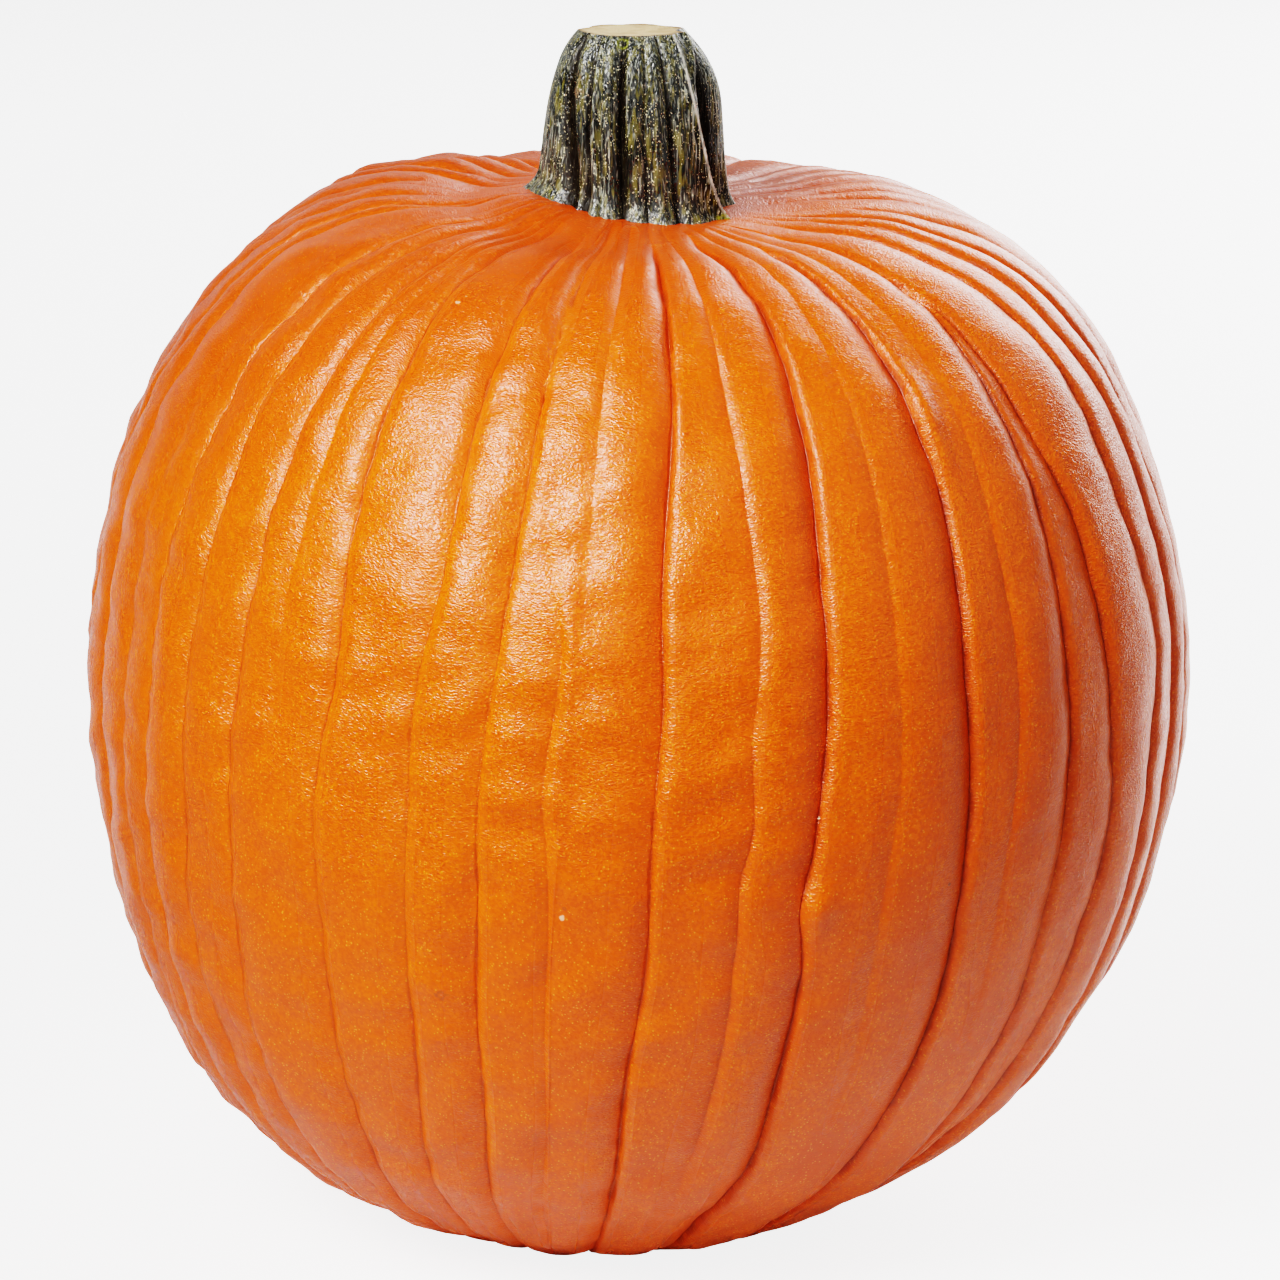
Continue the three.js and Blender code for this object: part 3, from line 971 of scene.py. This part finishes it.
    def columns(self, latitude: Array) -> Array:
        """Azimuths of the columns, which follow the creases and stand closer beside them.

        Args:
            latitude: Latitude of each row.

        Returns:
            Azimuths, shaped (rows, columns).
        """
        paths = np.stack([self.crease_azimuth(f, latitude) for f in self.furrows], 1)
        following = np.concatenate([paths[:, 1:], paths[:, :1] + 360.0], 1)
        share = np.array(self.column_shares)
        return (paths[..., None] + (following - paths)[..., None] * share).reshape(len(latitude), -1)

    def dents(self, points: Array) -> Array:
        """Broad shallow dents and swellings that leave no rib quite smooth.

        Args:
            points: Skin points in millimetres, shaped (rows, columns, 3).

        Returns:
            Heights in millimetres, shaped (rows, columns).
        """
        flat = points.reshape(-1, 3)
        heights = np.empty(len(flat))
        for i, (x, y, z) in enumerate(flat):
            broad = noise.noise(Vector((x / 26, y / 26, z / 40)))
            small = noise.noise(Vector((x / 13 + 9, y / 13, z / 9)))
            fine = noise.noise(Vector((x / 6, y / 6 + 5, z / 5)))
            lively = 1.0 - self.calm_share * smoothstep(x, *self.calm_from)
            heights[i] = (self.broad_dents * broad
                          + (self.small_dents * small + self.fine_dents * fine) * lively)
        return heights.reshape(points.shape[:2])

    def rib_rises(self) -> Array:
        """Height that each rib has of its own, round once, in millimetres for each column."""
        rises = np.array([self.rib_rise * (draw(i + 200) - 0.45) for i in range(len(self.furrows))])
        return (rises[:, None] * np.sin(math.pi * np.array(self.column_shares)) ** 1.5).ravel()

    def pleat_rises(self, curve: Array) -> Array:
        """Swelling of the ribs round the seat.

        Args:
            curve: The profile, shaped (rows, 2).

        Returns:
            Heights in millimetres, shaped (rows, columns).
        """
        radius = curve[:, :1]
        near = smoothstep(radius, *self.pleats_in) * (1 - smoothstep(radius, *self.pleats_out))
        near = np.where(curve[:, 1:] > self.heart, near, 0.0)
        scale = np.repeat([0.5 + draw(i + 260) for i in range(len(self.furrows))],
                          len(self.column_shares))
        swell = np.tile(np.sin(math.pi * np.array(self.column_shares)), len(self.furrows))
        return self.pleat_swelling * near * (scale * (swell - 0.5))

    # ---- building

    def build(self) -> bpy.types.Object:
        """Builds the fruit's mesh.

        Returns:
            The fruit, with its layers but without its material.
        """
        curve, arc, latitude = self.profile_rows(self.rows)
        radius = curve[:, :1]
        azimuth = self.columns(latitude)
        out, *kept = self.relief(azimuth, latitude, curve[:, 0])
        calm = (smoothstep(radius, *self.dents_in)
                * (self.near_dents + (1 - self.near_dents) * smoothstep(radius, *self.dents_full)))
        out += self.dents(self.surface(azimuth, curve, out)) * calm
        out += self.rib_rises() * smoothstep(radius, *self.ribs_in)
        out += self.pleat_rises(curve)
        points = self.surface(azimuth, curve, out)
        low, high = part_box("fruit")
        middle = (points.reshape(-1, 3).min(0) + points.reshape(-1, 3).max(0))[:2] / 2
        self.shift = np.array([(low.x + high.x) / 2, (low.y + high.y) / 2]) / MM - middle
        points[..., :2] += self.shift
        along = np.broadcast_to(arc[:, None] * MM, azimuth.shape)
        sheet, _ = rolled_sheet(points, dict(zip(FRUIT_LAYERS, (along, *kept))))
        return finished_object("fruit_skin", sheet)

    def point_on_skin(self, azimuth: float, latitude: float) -> Vector:
        """A point of the skin.

        Args:
            azimuth: Its azimuth.
            latitude: Its latitude.

        Returns:
            The point, in metres.
        """
        curve, _, levels = self.profile_rows(self.fine_rows)
        row = int(np.argmin(np.abs(levels - latitude)))
        window = slice(max(0, row - 1), row + 2)
        around = np.full((len(levels[window]), 1), float(azimuth))
        out = self.relief(around, levels[window], curve[window, 0])[0]
        point = self.surface(around, curve[window], out)[len(around) // 2, 0]
        return Vector((point[0] + self.shift[0], point[1] + self.shift[1], point[2])) * MM

    def dress(self, piece: bpy.types.Object, effects: Effects) -> None:
        """Gives the fruit its rind.

        Args:
            piece: The fruit.
            effects: The shared node groups.
        """
        marks = [(self.point_on_skin(mark.azimuth, mark.latitude), mark) for mark in BLEMISHES]
        scar = self.point_on_skin(0.0, -89.9)
        piece.data.materials.append(self.finish.material(effects, marks, scar))


# ---- the stem


@dataclass(frozen=True)
class Ridge:
    """A ridge of the stem, or a hollow where its rise is below 0.

    path holds its azimuths at the foot, at each quarter of the height and at the cut. rise holds
    its height at the foot, half way up and at the cut, in millimetres. spread is its half width in
    degrees, sharp is 0 for a rounded one and 1 for a keen one, and the last number is how strong
    the painted highlight along its edge is.
    """

    path: tuple[float, float, float, float, float]
    rise: tuple[float, float, float]
    spread: float
    sharp: float = 0.0
    edge_highlight: float = 0.0


STEM_RIDGES = (
    Ridge((-68, -70, -72, -74, -76), (0.8, 0.6, -0.3), 15),
    Ridge((-41, -44, -50, -56, -60), (-2.8, -2.3, -0.9), 8),
    Ridge((-36, -37, -39, -43, -47), (0.8, 0.9, 0.5), 5),
    Ridge((-29, -30, -32, -33, -35), (-2.0, -2.2, -1.1), 3.6, 0.5),
    Ridge((-23, -25, -27, -28, -30), (1.6, 1.5, 0.5), 4.2),
    Ridge((-18, -20, -23, -24, -27), (-1.4, -1.4, -0.6), 2.4, 0.6),
    Ridge((-14, -15, -17, -19, -21), (1.1, 1.1, 0.5), 6),
    Ridge((-5, -6, -7.5, -8, -8), (-2.4, -2.4, -1.2), 4.6, 0.4),
    Ridge((3, 2, 2.5, 3, 3), (0.6, 0.6, 0.4), 6),
    Ridge((11, 10, 9, 11, 13), (-1.6, -1.5, -0.7), 2.8, 0.6),
    Ridge((20, 18, 17, 18, 20), (0.8, 0.7, 0.4), 5),
    Ridge((32, 31, 29, 28, 28), (-1.7, -1.5, -0.8), 3.2, 0.5),
    Ridge((44, 42, 39, 36, 35), (0.7, 0.5, 0.2), 6),
    Ridge((72, 58, 51.5, 46, 46), (5.2, 2.9, 1.6), 6.0, 0.75, 1.0),
    Ridge((78, 66, 59, 56, 72), (0.0, 1.2, 2.4), 4.5, 0.6, 0.7),
    Ridge((86, 78, 75, 74, 90), (-4.2, -6.4, -2.6), 17),
    Ridge((106, 105, 105, 105, 110), (4.6, 2.6, 1.0), 9, 0.45, 0.7),
    Ridge((140, 138, 138, 138, 138), (-2.6, -2.4, -1.2), 10, 0.3),
    Ridge((164, 164, 165, 166, 167), (2.2, 2.0, 0.9), 12, 0.3, 0.3),
    Ridge((189, 190, 190, 191, 192), (-2.0, -2.0, -1.0), 9, 0.4),
    Ridge((212, 213, 214, 215, 216), (2.0, 1.8, 0.8), 12, 0.2, 0.2),
    Ridge((238, 238, 239, 240, 241), (-2.0, -1.8, -0.9), 9, 0.4),
    Ridge((262, 262, 261, 260, 260), (1.6, 1.2, 0.6), 11),
)


@dataclass(frozen=True)
class StemFinish:
    """Dry green-black skin with grey streaks and tan flecks, painted highlights along its sharp
    ridge edges, painted light on its raised ridges and painted shade in its hollows.
    """

    bark: Colour = tone(0.014, 0.016, 0.013)
    grey: Colour = tone(0.400, 0.420, 0.350)
    olive: Colour = tone(0.190, 0.168, 0.036)
    # painted shade in the stem's hollows
    hollow: Colour = tone(0.014, 0.009, 0.005)
    # painted highlight along the edges of the sharp ridges
    crest: Colour = tone(0.66, 0.64, 0.56)
    tan: Colour = tone(0.30, 0.20, 0.105)
    fleck: Colour = tone(0.86, 0.78, 0.50)
    lime: Colour = tone(0.34, 0.36, 0.03)
    streaks: Mottle = Mottle(1900.0, 0.58, 0.045)
    patches: Mottle = Mottle(260.0)
    stains: Mottle = Mottle(900.0, 0.57, 0.1)
    flecks: Specks = Specks(1700.0, 0.40)
    roughness: float = 0.17
    relief_height: float = 0.42 * MM
    fibre_scale: float = 1300.0        # the scales are in waves for each metre
    wart_scale: float = 700.0
    wart_width: float = 0.12
    highlight_break_scale: float = 380.0
    crowd_scale: float = 330.0         # of the places where the flecks stand close
    frayed_scale: float = 700.0
    ring: tuple[float, float] = (1.5 * MM, 2.0 * MM)   # radii of the ring mark
    tinge: float = 5.5 * MM            # radius of the green tinge
    rub: float = 3.0 * MM              # and of the rubbed place

    def material(self, effects: Effects, ring_centre: Vector, tinge_centre: Vector,
                 rub_centre: Vector) -> bpy.types.Material:
        """Builds the material.

        Args:
            effects: The shared node groups.
            ring_centre: Middle of the small ring mark under the cut.
            tinge_centre: Where the foot is still green.
            rub_centre: Where the skin is rubbed tan, with its height scaled as tall things are.

        Returns:
            The stem's material.
        """
        material, sheet, place = new_material("dry_stem_skin")
        crest, edge_highlight = sheet.layer(Layer.CREST), sheet.layer(Layer.EDGE)
        strands, drawn, crowds, tall, less_tall = (
            sheet.scaled(place, (1.0, 1.0, factor)) for factor in (0.09, 0.15, 0.2, 0.45, 0.75))

        streak = self.streaks.lay(sheet, effects, strands)
        patch = self.patches.lay(sheet, effects, tall)
        olive = self.stains.lay(sheet, effects, drawn)
        # painted light: the real grey streaks laid on more thickly where ridges stand out; painted
        # shade where the skin sinks in
        ridge_light = sheet.times(sheet.ramp(crest, 0.05, 0.6, 0.0, 0.4), streak)
        sunk = sheet.ramp(crest, 0.0, -0.4, 0.0, 0.95)
        specks = self.flecks.lay(sheet, effects, less_tall)
        dense = sheet.ramp(sheet.noise(crowds, self.crowd_scale, 1.0), 0.38, 0.58, 0.25, 1.0)
        fleck = sheet.times(specks["Mask"], sheet.math("LESS_THAN", specks["Chance"], dense))
        fleck = sheet.times(fleck, sheet.ramp(crest, -0.7, -0.1, 0.1, 1.0))
        # painted highlight along the edges of the sharp ridges, broken up by noise
        highlight_breaks = sheet.ramp(sheet.noise(tall, self.highlight_break_scale, 2.0, 0.6), 0.36, 0.52, 0.45, 1.0)
        edge = sheet.times(sheet.ramp(edge_highlight, 0.25, 0.85), highlight_breaks)

        push = sheet.math("MULTIPLY_ADD", sheet.noise(place, self.frayed_scale, 1.0), 1.2, -0.6)
        ring, tinge, rubbed = (
            sheet.group(effects.spot, where, Centre=centre, Inner=inner, Outer=outer,
                        Ragged=ragged)["Mask"]
            for where, centre, inner, outer, ragged in (
                (place, ring_centre, *self.ring, 0.0), (place, tinge_centre, 0.0, self.tinge, push),
                (tall, rub_centre, 0.0, self.rub, push)))
        colour = sheet.washes(self.bark, (sheet.times(streak, patch), self.grey),
                              (sheet.times(olive, 0.7), self.olive), (ridge_light, self.grey),
                              (sunk, self.hollow), (sheet.times(fleck, 0.9), self.fleck),
                              (edge, self.crest), (sheet.times(ring, 0.8), self.lime),
                              (sheet.times(tinge, 0.8), self.lime),
                              (sheet.times(rubbed, streak), self.tan))

        warts = sheet.group(effects.crinkle, tall, Scale=self.wart_scale,
                            Width=self.wart_width)["Height"]
        height = sheet.noise(strands, self.fibre_scale, 2.0, 0.6)
        for form, share in ((warts, 0.22), (fleck, 0.25), (ring, 0.5)):
            height = sheet.math("MULTIPLY_ADD", form, share, height)
        dull = sheet.math("MULTIPLY_ADD", patch, 0.22, self.roughness)
        aside = sheet.ramp(sheet.axes(place)[0], tinge_centre.x - 15 * MM, tinge_centre.x - 6 * MM,
                           1.0, 0.2)
        sheen = sheet.times(sheet.ramp(crest, -0.7, -0.2, 0.12, 0.9), aside)
        sheet.surface({"Base Color": colour, "Roughness": dull, "IOR": SKIN_IOR,
                       "Specular IOR Level": sheen}, (height, self.relief_height))
        return material


@dataclass(frozen=True)
class CutFinish:
    """The dry cut face: pale tan pith with a browner rim and fine saw marks."""

    pith: Colour = tone(0.72, 0.53, 0.30)
    rim: Colour = tone(0.24, 0.14, 0.055)
    brown: Colour = tone(0.50, 0.33, 0.16)
    clouds: Mottle = Mottle(240.0, 0.5, 0.15)
    roughness: float = 0.8
    grain_height: float = 0.35 * MM
    frayed_scale: float = 500.0        # the scales are in waves for each metre
    saw_scale: float = 900.0

    def material(self, effects: Effects, centre: Vector, radius: float) -> bpy.types.Material:
        """Builds the material.

        Args:
            effects: The shared node groups.
            centre: Middle of the cut.
            radius: Its radius, in metres.

        Returns:
            The cut's material.
        """
        material, sheet, place = new_material("stem_cut_face")
        away = sheet.add("ShaderNodeVectorMath", {0: place, 1: centre}, operation="DISTANCE")
        share = sheet.math("DIVIDE", away.outputs["Value"], radius)
        cloud = self.clouds.lay(sheet, effects, place)
        colour = sheet.mix(sheet.times(cloud, 0.6), self.pith, self.brown)
        frayed = sheet.noise(place, self.frayed_scale, 2.0)
        frayed = sheet.math("MULTIPLY_ADD", frayed, 0.24, share)
        colour = sheet.mix(sheet.ramp(frayed, 0.85, 1.08), colour, self.rim)
        marks = sheet.noise(sheet.scaled(place, (1.0, 0.12, 1.0)), self.saw_scale, 3.0, 0.6)
        sheet.surface({"Base Color": colour, "Roughness": self.roughness},
                      (marks, self.grain_height))
        return material


@dataclass
class Stem:
    """The cut stem: flared at its foot, ridged and fluted, tapering to the slanting cut."""

    fruit: Fruit
    height: float = 47.8              # millimetres
    cut_pitch: float = 5.5            # degrees that the cut rises towards -Y
    sink: float = 1.2                 # how far the foot sits in the fruit's seat
    outline: tuple[tuple[float, float], ...] = (   # radius, and share of the height
        (28.2, 0), (25.9, 0.05), (23.9, 0.13), (23.0, 0.26), (22.5, 0.42), (21.6, 0.58),
        (20.3, 0.72), (18.4, 0.85), (16.1, 0.94), (13.9, 1))
    rear_bulge: float = 1.9           # how much fuller the back right is, two thirds up
    ridges: tuple[Ridge, ...] = STEM_RIDGES
    full_crest: float = 2.6           # height of a ridge that counts as a crest of 1, by which its painted light and a hollow's painted shade are set
    flutes: float = 0.42              # height of the small flutes between the ridges
    cut_radius: float = 15.5
    cut_sag: float = 0.9              # how far the middle of the cut has sunk
    rub_radius: float = 20.5
    rub_azimuth: float = -46.0
    rows: int = 112
    columns: int = 480
    cap_rings: int = 9
    finish: StemFinish = field(default_factory=StemFinish)
    cut_finish: CutFinish = field(default_factory=CutFinish)

    def _fluting(self, azimuth: Array, share: Array) -> Array:
        """The small flutes between the ridges.

        Args:
            azimuth: Azimuth of each column.
            share: Share of the height of each row.

        Returns:
            Heights up to 1, shaped (rows, columns).
        """
        angles = np.radians(azimuth)
        rows = [[1 - 2.4 * abs(noise.noise(Vector((math.sin(angle) * 8.5, math.cos(angle) * 8.5,
                                                   level * 1.5))))
                 for angle in angles] for level in share]
        return np.array(rows)

    def relief(self, azimuth: Array, share: Array) -> tuple[Array, Array]:
        """How far the ridges and flutes stand out.

        Args:
            azimuth: Azimuth of each column.
            share: Share of the height of each row.

        Returns:
            Heights in millimetres, and the strength of the painted highlight along the ridge edges,
            both shaped (rows, columns).
        """
        height = np.zeros((len(share), len(azimuth)))
        edge_highlight = np.zeros_like(height)
        for ridge in self.ridges:
            path = spline(list(zip(np.linspace(0, 1, 5), ridge.path)), 20)
            at = np.interp(share, path[:, 0], path[:, 1])[:, None]
            rise = np.interp(share, (0, 0.5, 1), ridge.rise)[:, None]
            away = np.abs(turn(at, azimuth[None, :]))
            keen = np.exp(-away / (0.7 * ridge.spread))
            height += rise * (ridge.sharp * keen + (1 - ridge.sharp) * bell(away, ridge.spread))
            shown = np.clip(np.abs(rise) / 2.2, 0, 1)
            edge_highlight = np.maximum(edge_highlight, ridge.edge_highlight * shown * bell(away, 1.6))
        level = share[:, None]
        height += self.flutes * self._fluting(azimuth, share) * (1 - 0.4 * level)
        height += self.rear_bulge * bell(turn(104, azimuth[None, :]), 34) * bell(level - 0.68, 0.3)
        return height, edge_highlight

    def place(self, reach: Array, azimuth: Array, share: Array) -> Array:
        """Places points between the slanting foot and the slanting cut.

        Args:
            reach: Distance from the stem's axis, shaped (rows, columns).
            azimuth: Azimuth of each column.
            share: Share of the height of each row.

        Returns:
            Points in millimetres before the shift, shaped (rows, columns, 3).
        """
        fruit = self.fruit
        angle = np.radians(azimuth)[None, :]
        x = fruit.stem_foot[0] + reach * np.sin(angle)
        y = fruit.stem_foot[1] - reach * np.cos(angle)
        foot = fruit.seat_plane(x, y) - self.sink
        cut = (fruit.axis_top[2] + self.height
               - (y - fruit.stem_foot[1]) * math.tan(math.radians(self.cut_pitch)))
        return np.stack([x, y, foot + (cut - foot) * share[:, None] - fruit.base_trim], -1)

    def build(self) -> bpy.types.Object:
        """Builds the stem's mesh, with the cut face as its second material.

        Returns:
            The stem, without its materials.
        """
        side, _ = even_samples(spline(list(self.outline), 30) * np.array([1.0, self.height]),
                               self.rows)
        share = side[:, 1] / self.height
        azimuth = np.arange(self.columns) * 360.0 / self.columns
        relief, edge_highlight = self.relief(azimuth, share)
        reach = side[:, :1] + relief
        inward = np.linspace(1.0, 0.0, self.cap_rings + 1)[1:, None]
        reach = np.vstack([0.0 * reach[:1], reach, reach[-1:] * inward])
        levels = np.concatenate([[0.0], share, np.ones(self.cap_rings)])
        relief, edge_highlight = (np.vstack([value[:1], value, np.repeat(value[-1:], self.cap_rings, 0)])
                        for value in (relief, edge_highlight))
        points = self.place(reach, azimuth, levels)
        points[-self.cap_rings:, :, 2] -= self.cut_sag * smoothstep(1 - inward, 0.0, 0.9)
        points[..., :2] += self.fruit.shift

        kept = {Layer.CREST: relief / self.full_crest, Layer.EDGE: edge_highlight}
        sheet, places = rolled_sheet(points, kept)
        tops = {vert for (row, _), verts in places.items() if row >= self.rows for vert in verts}
        brink = {vert for (row, _), verts in places.items() if row == self.rows for vert in verts}
        for face in sheet.faces:
            face.material_index = int(all(vert in tops for vert in face.verts))
        for edge in sheet.edges:
            edge.smooth = not all(vert in brink for vert in edge.verts)
        return finished_object("stem_skin", sheet)

    def dress(self, piece: bpy.types.Object, effects: Effects) -> None:
        """Gives the stem its skin and its cut face.

        Args:
            piece: The stem.
            effects: The shared node groups.
        """
        foot = Vector((*(self.fruit.stem_foot + self.fruit.shift), 0.0))
        top = self.fruit.axis_top[2] + self.height - self.fruit.base_trim
        centre = Vector((foot.x, foot.y, top)) * MM
        ring = Vector((foot.x - 2.3, foot.y - 14.8, top - 0.4)) * MM
        tinge = Vector((foot.x + 27.0, foot.y - 9.0, top - self.height - 3.0)) * MM
        side = math.radians(self.rub_azimuth)
        rub = Vector((foot.x + self.rub_radius * math.sin(side),
                      foot.y - self.rub_radius * math.cos(side),
                      0.45 * (top - 0.27 * self.height))) * MM
        piece.data.materials.append(self.finish.material(effects, ring, tinge, rub))
        piece.data.materials.append(self.cut_finish.material(effects, centre, self.cut_radius * MM))


# ---- the studio


@dataclass(frozen=True)
class Lamp:
    """A soft flat light.

    azimuth and elevation are its direction from the fruit, in degrees; distance, width and height
    are in metres; radiance is how bright its face is; spread is the angle of its grid, in degrees,
    and pool is how far from the fruit's middle it points, in metres.
    """

    name: str
    azimuth: float
    elevation: float
    distance: float
    width: float
    height: float
    radiance: float
    spread: float = 180.0
    pool: tuple[float, float, float] = (0.0, 0.0, 0.0)


@dataclass
class Studio:
    """Pale floor, soft lights and the camera."""

    aim: Vector = field(default_factory=lambda: Vector((0.0006, 0.0, 0.1603)))
    elevation: float = 17.2
    distance: float = 2.0
    lens: float = 203.0
    sensor: float = 36.0
    floor_radius: float = 4.0
    floor_tone: Colour = tone(0.66, 0.66, 0.66)
    apron_tone: Colour = tone(0.20, 0.20, 0.20)   # the floor well in front of the fruit
    floor_glow: float = 1.6            # what is seen of the floor
    rear_glow: float = 1.0             # what the fruit gets from the floor behind it at +X
    side_glow: float = 0.42            # and at -X
    room_light: float = 0.095          # strength of the world towards the front
    backdrop_light: float = 0.03       # and towards the back
    ceiling_light: float = 0.05        # what it has more overhead
    lamps: tuple[Lamp, ...] = (
        Lamp("key_softbox", -33.0, 37.0, 0.58, 0.42, 0.42, 31.0, 46.0, (0.02, -0.11, -0.04)),
        Lamp("key_halo", -14.0, 34.0, 0.75, 0.80, 0.80, 0.85),
        Lamp("back_right_card", 149.0, 22.0, 1.50, 1.05, 1.20, 4.7),
        Lamp("back_left_card", 198.0, 16.0, 1.50, 1.50, 0.80, 0.5),
        Lamp("fill_softbox", 76.0, 24.0, 1.40, 1.70, 1.60, 0.37),
    )

    def build(self) -> None:
        """Makes the floor, the lights, the world and the camera."""
        self._floor()
        for lamp in self.lamps:
            self._lamp(lamp)
        self._world()
        self._camera()
        view = bpy.context.scene.view_settings
        view.view_transform = "Filmic"
        view.look = "Very High Contrast"

    def _floor(self) -> None:
        """A large round pale floor at the ground."""
        disc = bmesh.new()
        bmesh.ops.create_circle(disc, cap_ends=True, segments=96, radius=self.floor_radius)
        mesh = bpy.data.meshes.new("floor")
        disc.to_mesh(mesh)
        disc.free()
        floor = linked("floor", mesh)
        material, sheet, place = new_material("pale_floor")
        seen = sheet.add("ShaderNodeLightPath").outputs["Is Camera Ray"]
        x, y, _ = sheet.axes(place)
        colour = sheet.mix(sheet.ramp(y, -0.5, -0.1, 1.0, 0.0), self.floor_tone, self.apron_tone)
        wedge = sheet.math("MULTIPLY_ADD", sheet.math("ABSOLUTE", x), -0.5, y)
        behind = sheet.ramp(wedge, -0.06, 0.08)
        side = sheet.ramp(x, -0.1, 0.1, self.side_glow, self.rear_glow)
        glow = sheet.math("MAXIMUM", sheet.times(seen, self.floor_glow), sheet.times(behind, side))
        sheet.surface({"Base Color": colour, "Roughness": 0.7, "Emission Color": WHITE,
                       "Emission Strength": glow})
        mesh.materials.append(material)

    def _lamp(self, lamp: Lamp) -> None:
        """Hangs one soft light and points it at the fruit.

        Args:
            lamp: The light.
        """
        data = bpy.data.lights.new(lamp.name, "AREA")
        data.shape = "RECTANGLE"
        data.size, data.size_y = lamp.width, lamp.height
        half = math.radians(lamp.spread) / 2
        narrowed = 1.0 - half / math.tan(half)
        data.energy = lamp.radiance * math.pi * lamp.width * lamp.height * narrowed
        data.spread = 2 * half
        light = linked(lamp.name, data)
        side, rise = math.radians(lamp.azimuth), math.radians(lamp.elevation)
        way = Vector((math.cos(rise) * math.sin(side), -math.cos(rise) * math.cos(side),
                      math.sin(rise)))
        light.location = self.aim + way * lamp.distance
        facing = Vector(lamp.pool) - way * lamp.distance
        light.rotation_euler = facing.to_track_quat("-Z", "Y").to_euler()
        light.visible_camera = False

    def _world(self) -> None:
        """Pale light from all round, stronger towards the front and overhead."""
        world = bpy.data.worlds.new("pale_room")
        bpy.context.scene.world = world
        world.use_nodes = True
        sheet = Sheet(world.node_tree)
        _, y, z = sheet.axes(sheet.add("ShaderNodeTexCoord").outputs["Generated"])
        strength = sheet.math("ADD", sheet.ramp(y, 0.0, 0.7, self.room_light, self.backdrop_light),
                              sheet.ramp(z, 0.1, 0.8, 0.0, self.ceiling_light))
        glow = sheet.add("ShaderNodeBackground", {"Color": WHITE, "Strength": strength})
        sheet.add("ShaderNodeOutputWorld", {"Surface": glow.outputs[0]})

    def _camera(self) -> None:
        """A long lens a little above the fruit."""
        data = bpy.data.cameras.new("camera")
        data.lens = self.lens
        data.sensor_width = self.sensor
        camera = linked("camera", data)
        rise = math.radians(self.elevation)
        back = Vector((0.0, -math.cos(rise), math.sin(rise)))
        camera.location = self.aim + back * self.distance
        camera.rotation_euler = Euler((math.pi / 2 - rise, 0.0, 0.0))
        bpy.context.scene.camera = camera


# ---- all together


def settle(piece: bpy.types.Object, node: str) -> None:
    """Lets a piece stand for its node and reports it.

    Args:
        piece: The finished piece.
        node: The node that it replaces.
    """
    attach(piece, "root")
    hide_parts(node)
    triangles = sum(len(face.vertices) - 2 for face in piece.data.polygons)
    LOG.info("%s stands for %s: %d triangles", piece.name, node, triangles)


def main() -> None:
    """Builds the fruit, the stem and the studio in order."""
    logging.basicConfig(level=logging.INFO, format="%(name)s: %(message)s")
    effects = Effects.build()

    fruit = Fruit()
    skin = fruit.build()
    fruit.dress(skin, effects)
    settle(skin, "fruit")

    stem = Stem(fruit)
    column = stem.build()
    stem.dress(column, effects)
    settle(column, "stem")

    studio = Studio()
    studio.build()
    LOG.info("studio: floor, %d lights and the camera", len(studio.lamps))


if __name__ == "__main__":
    main()
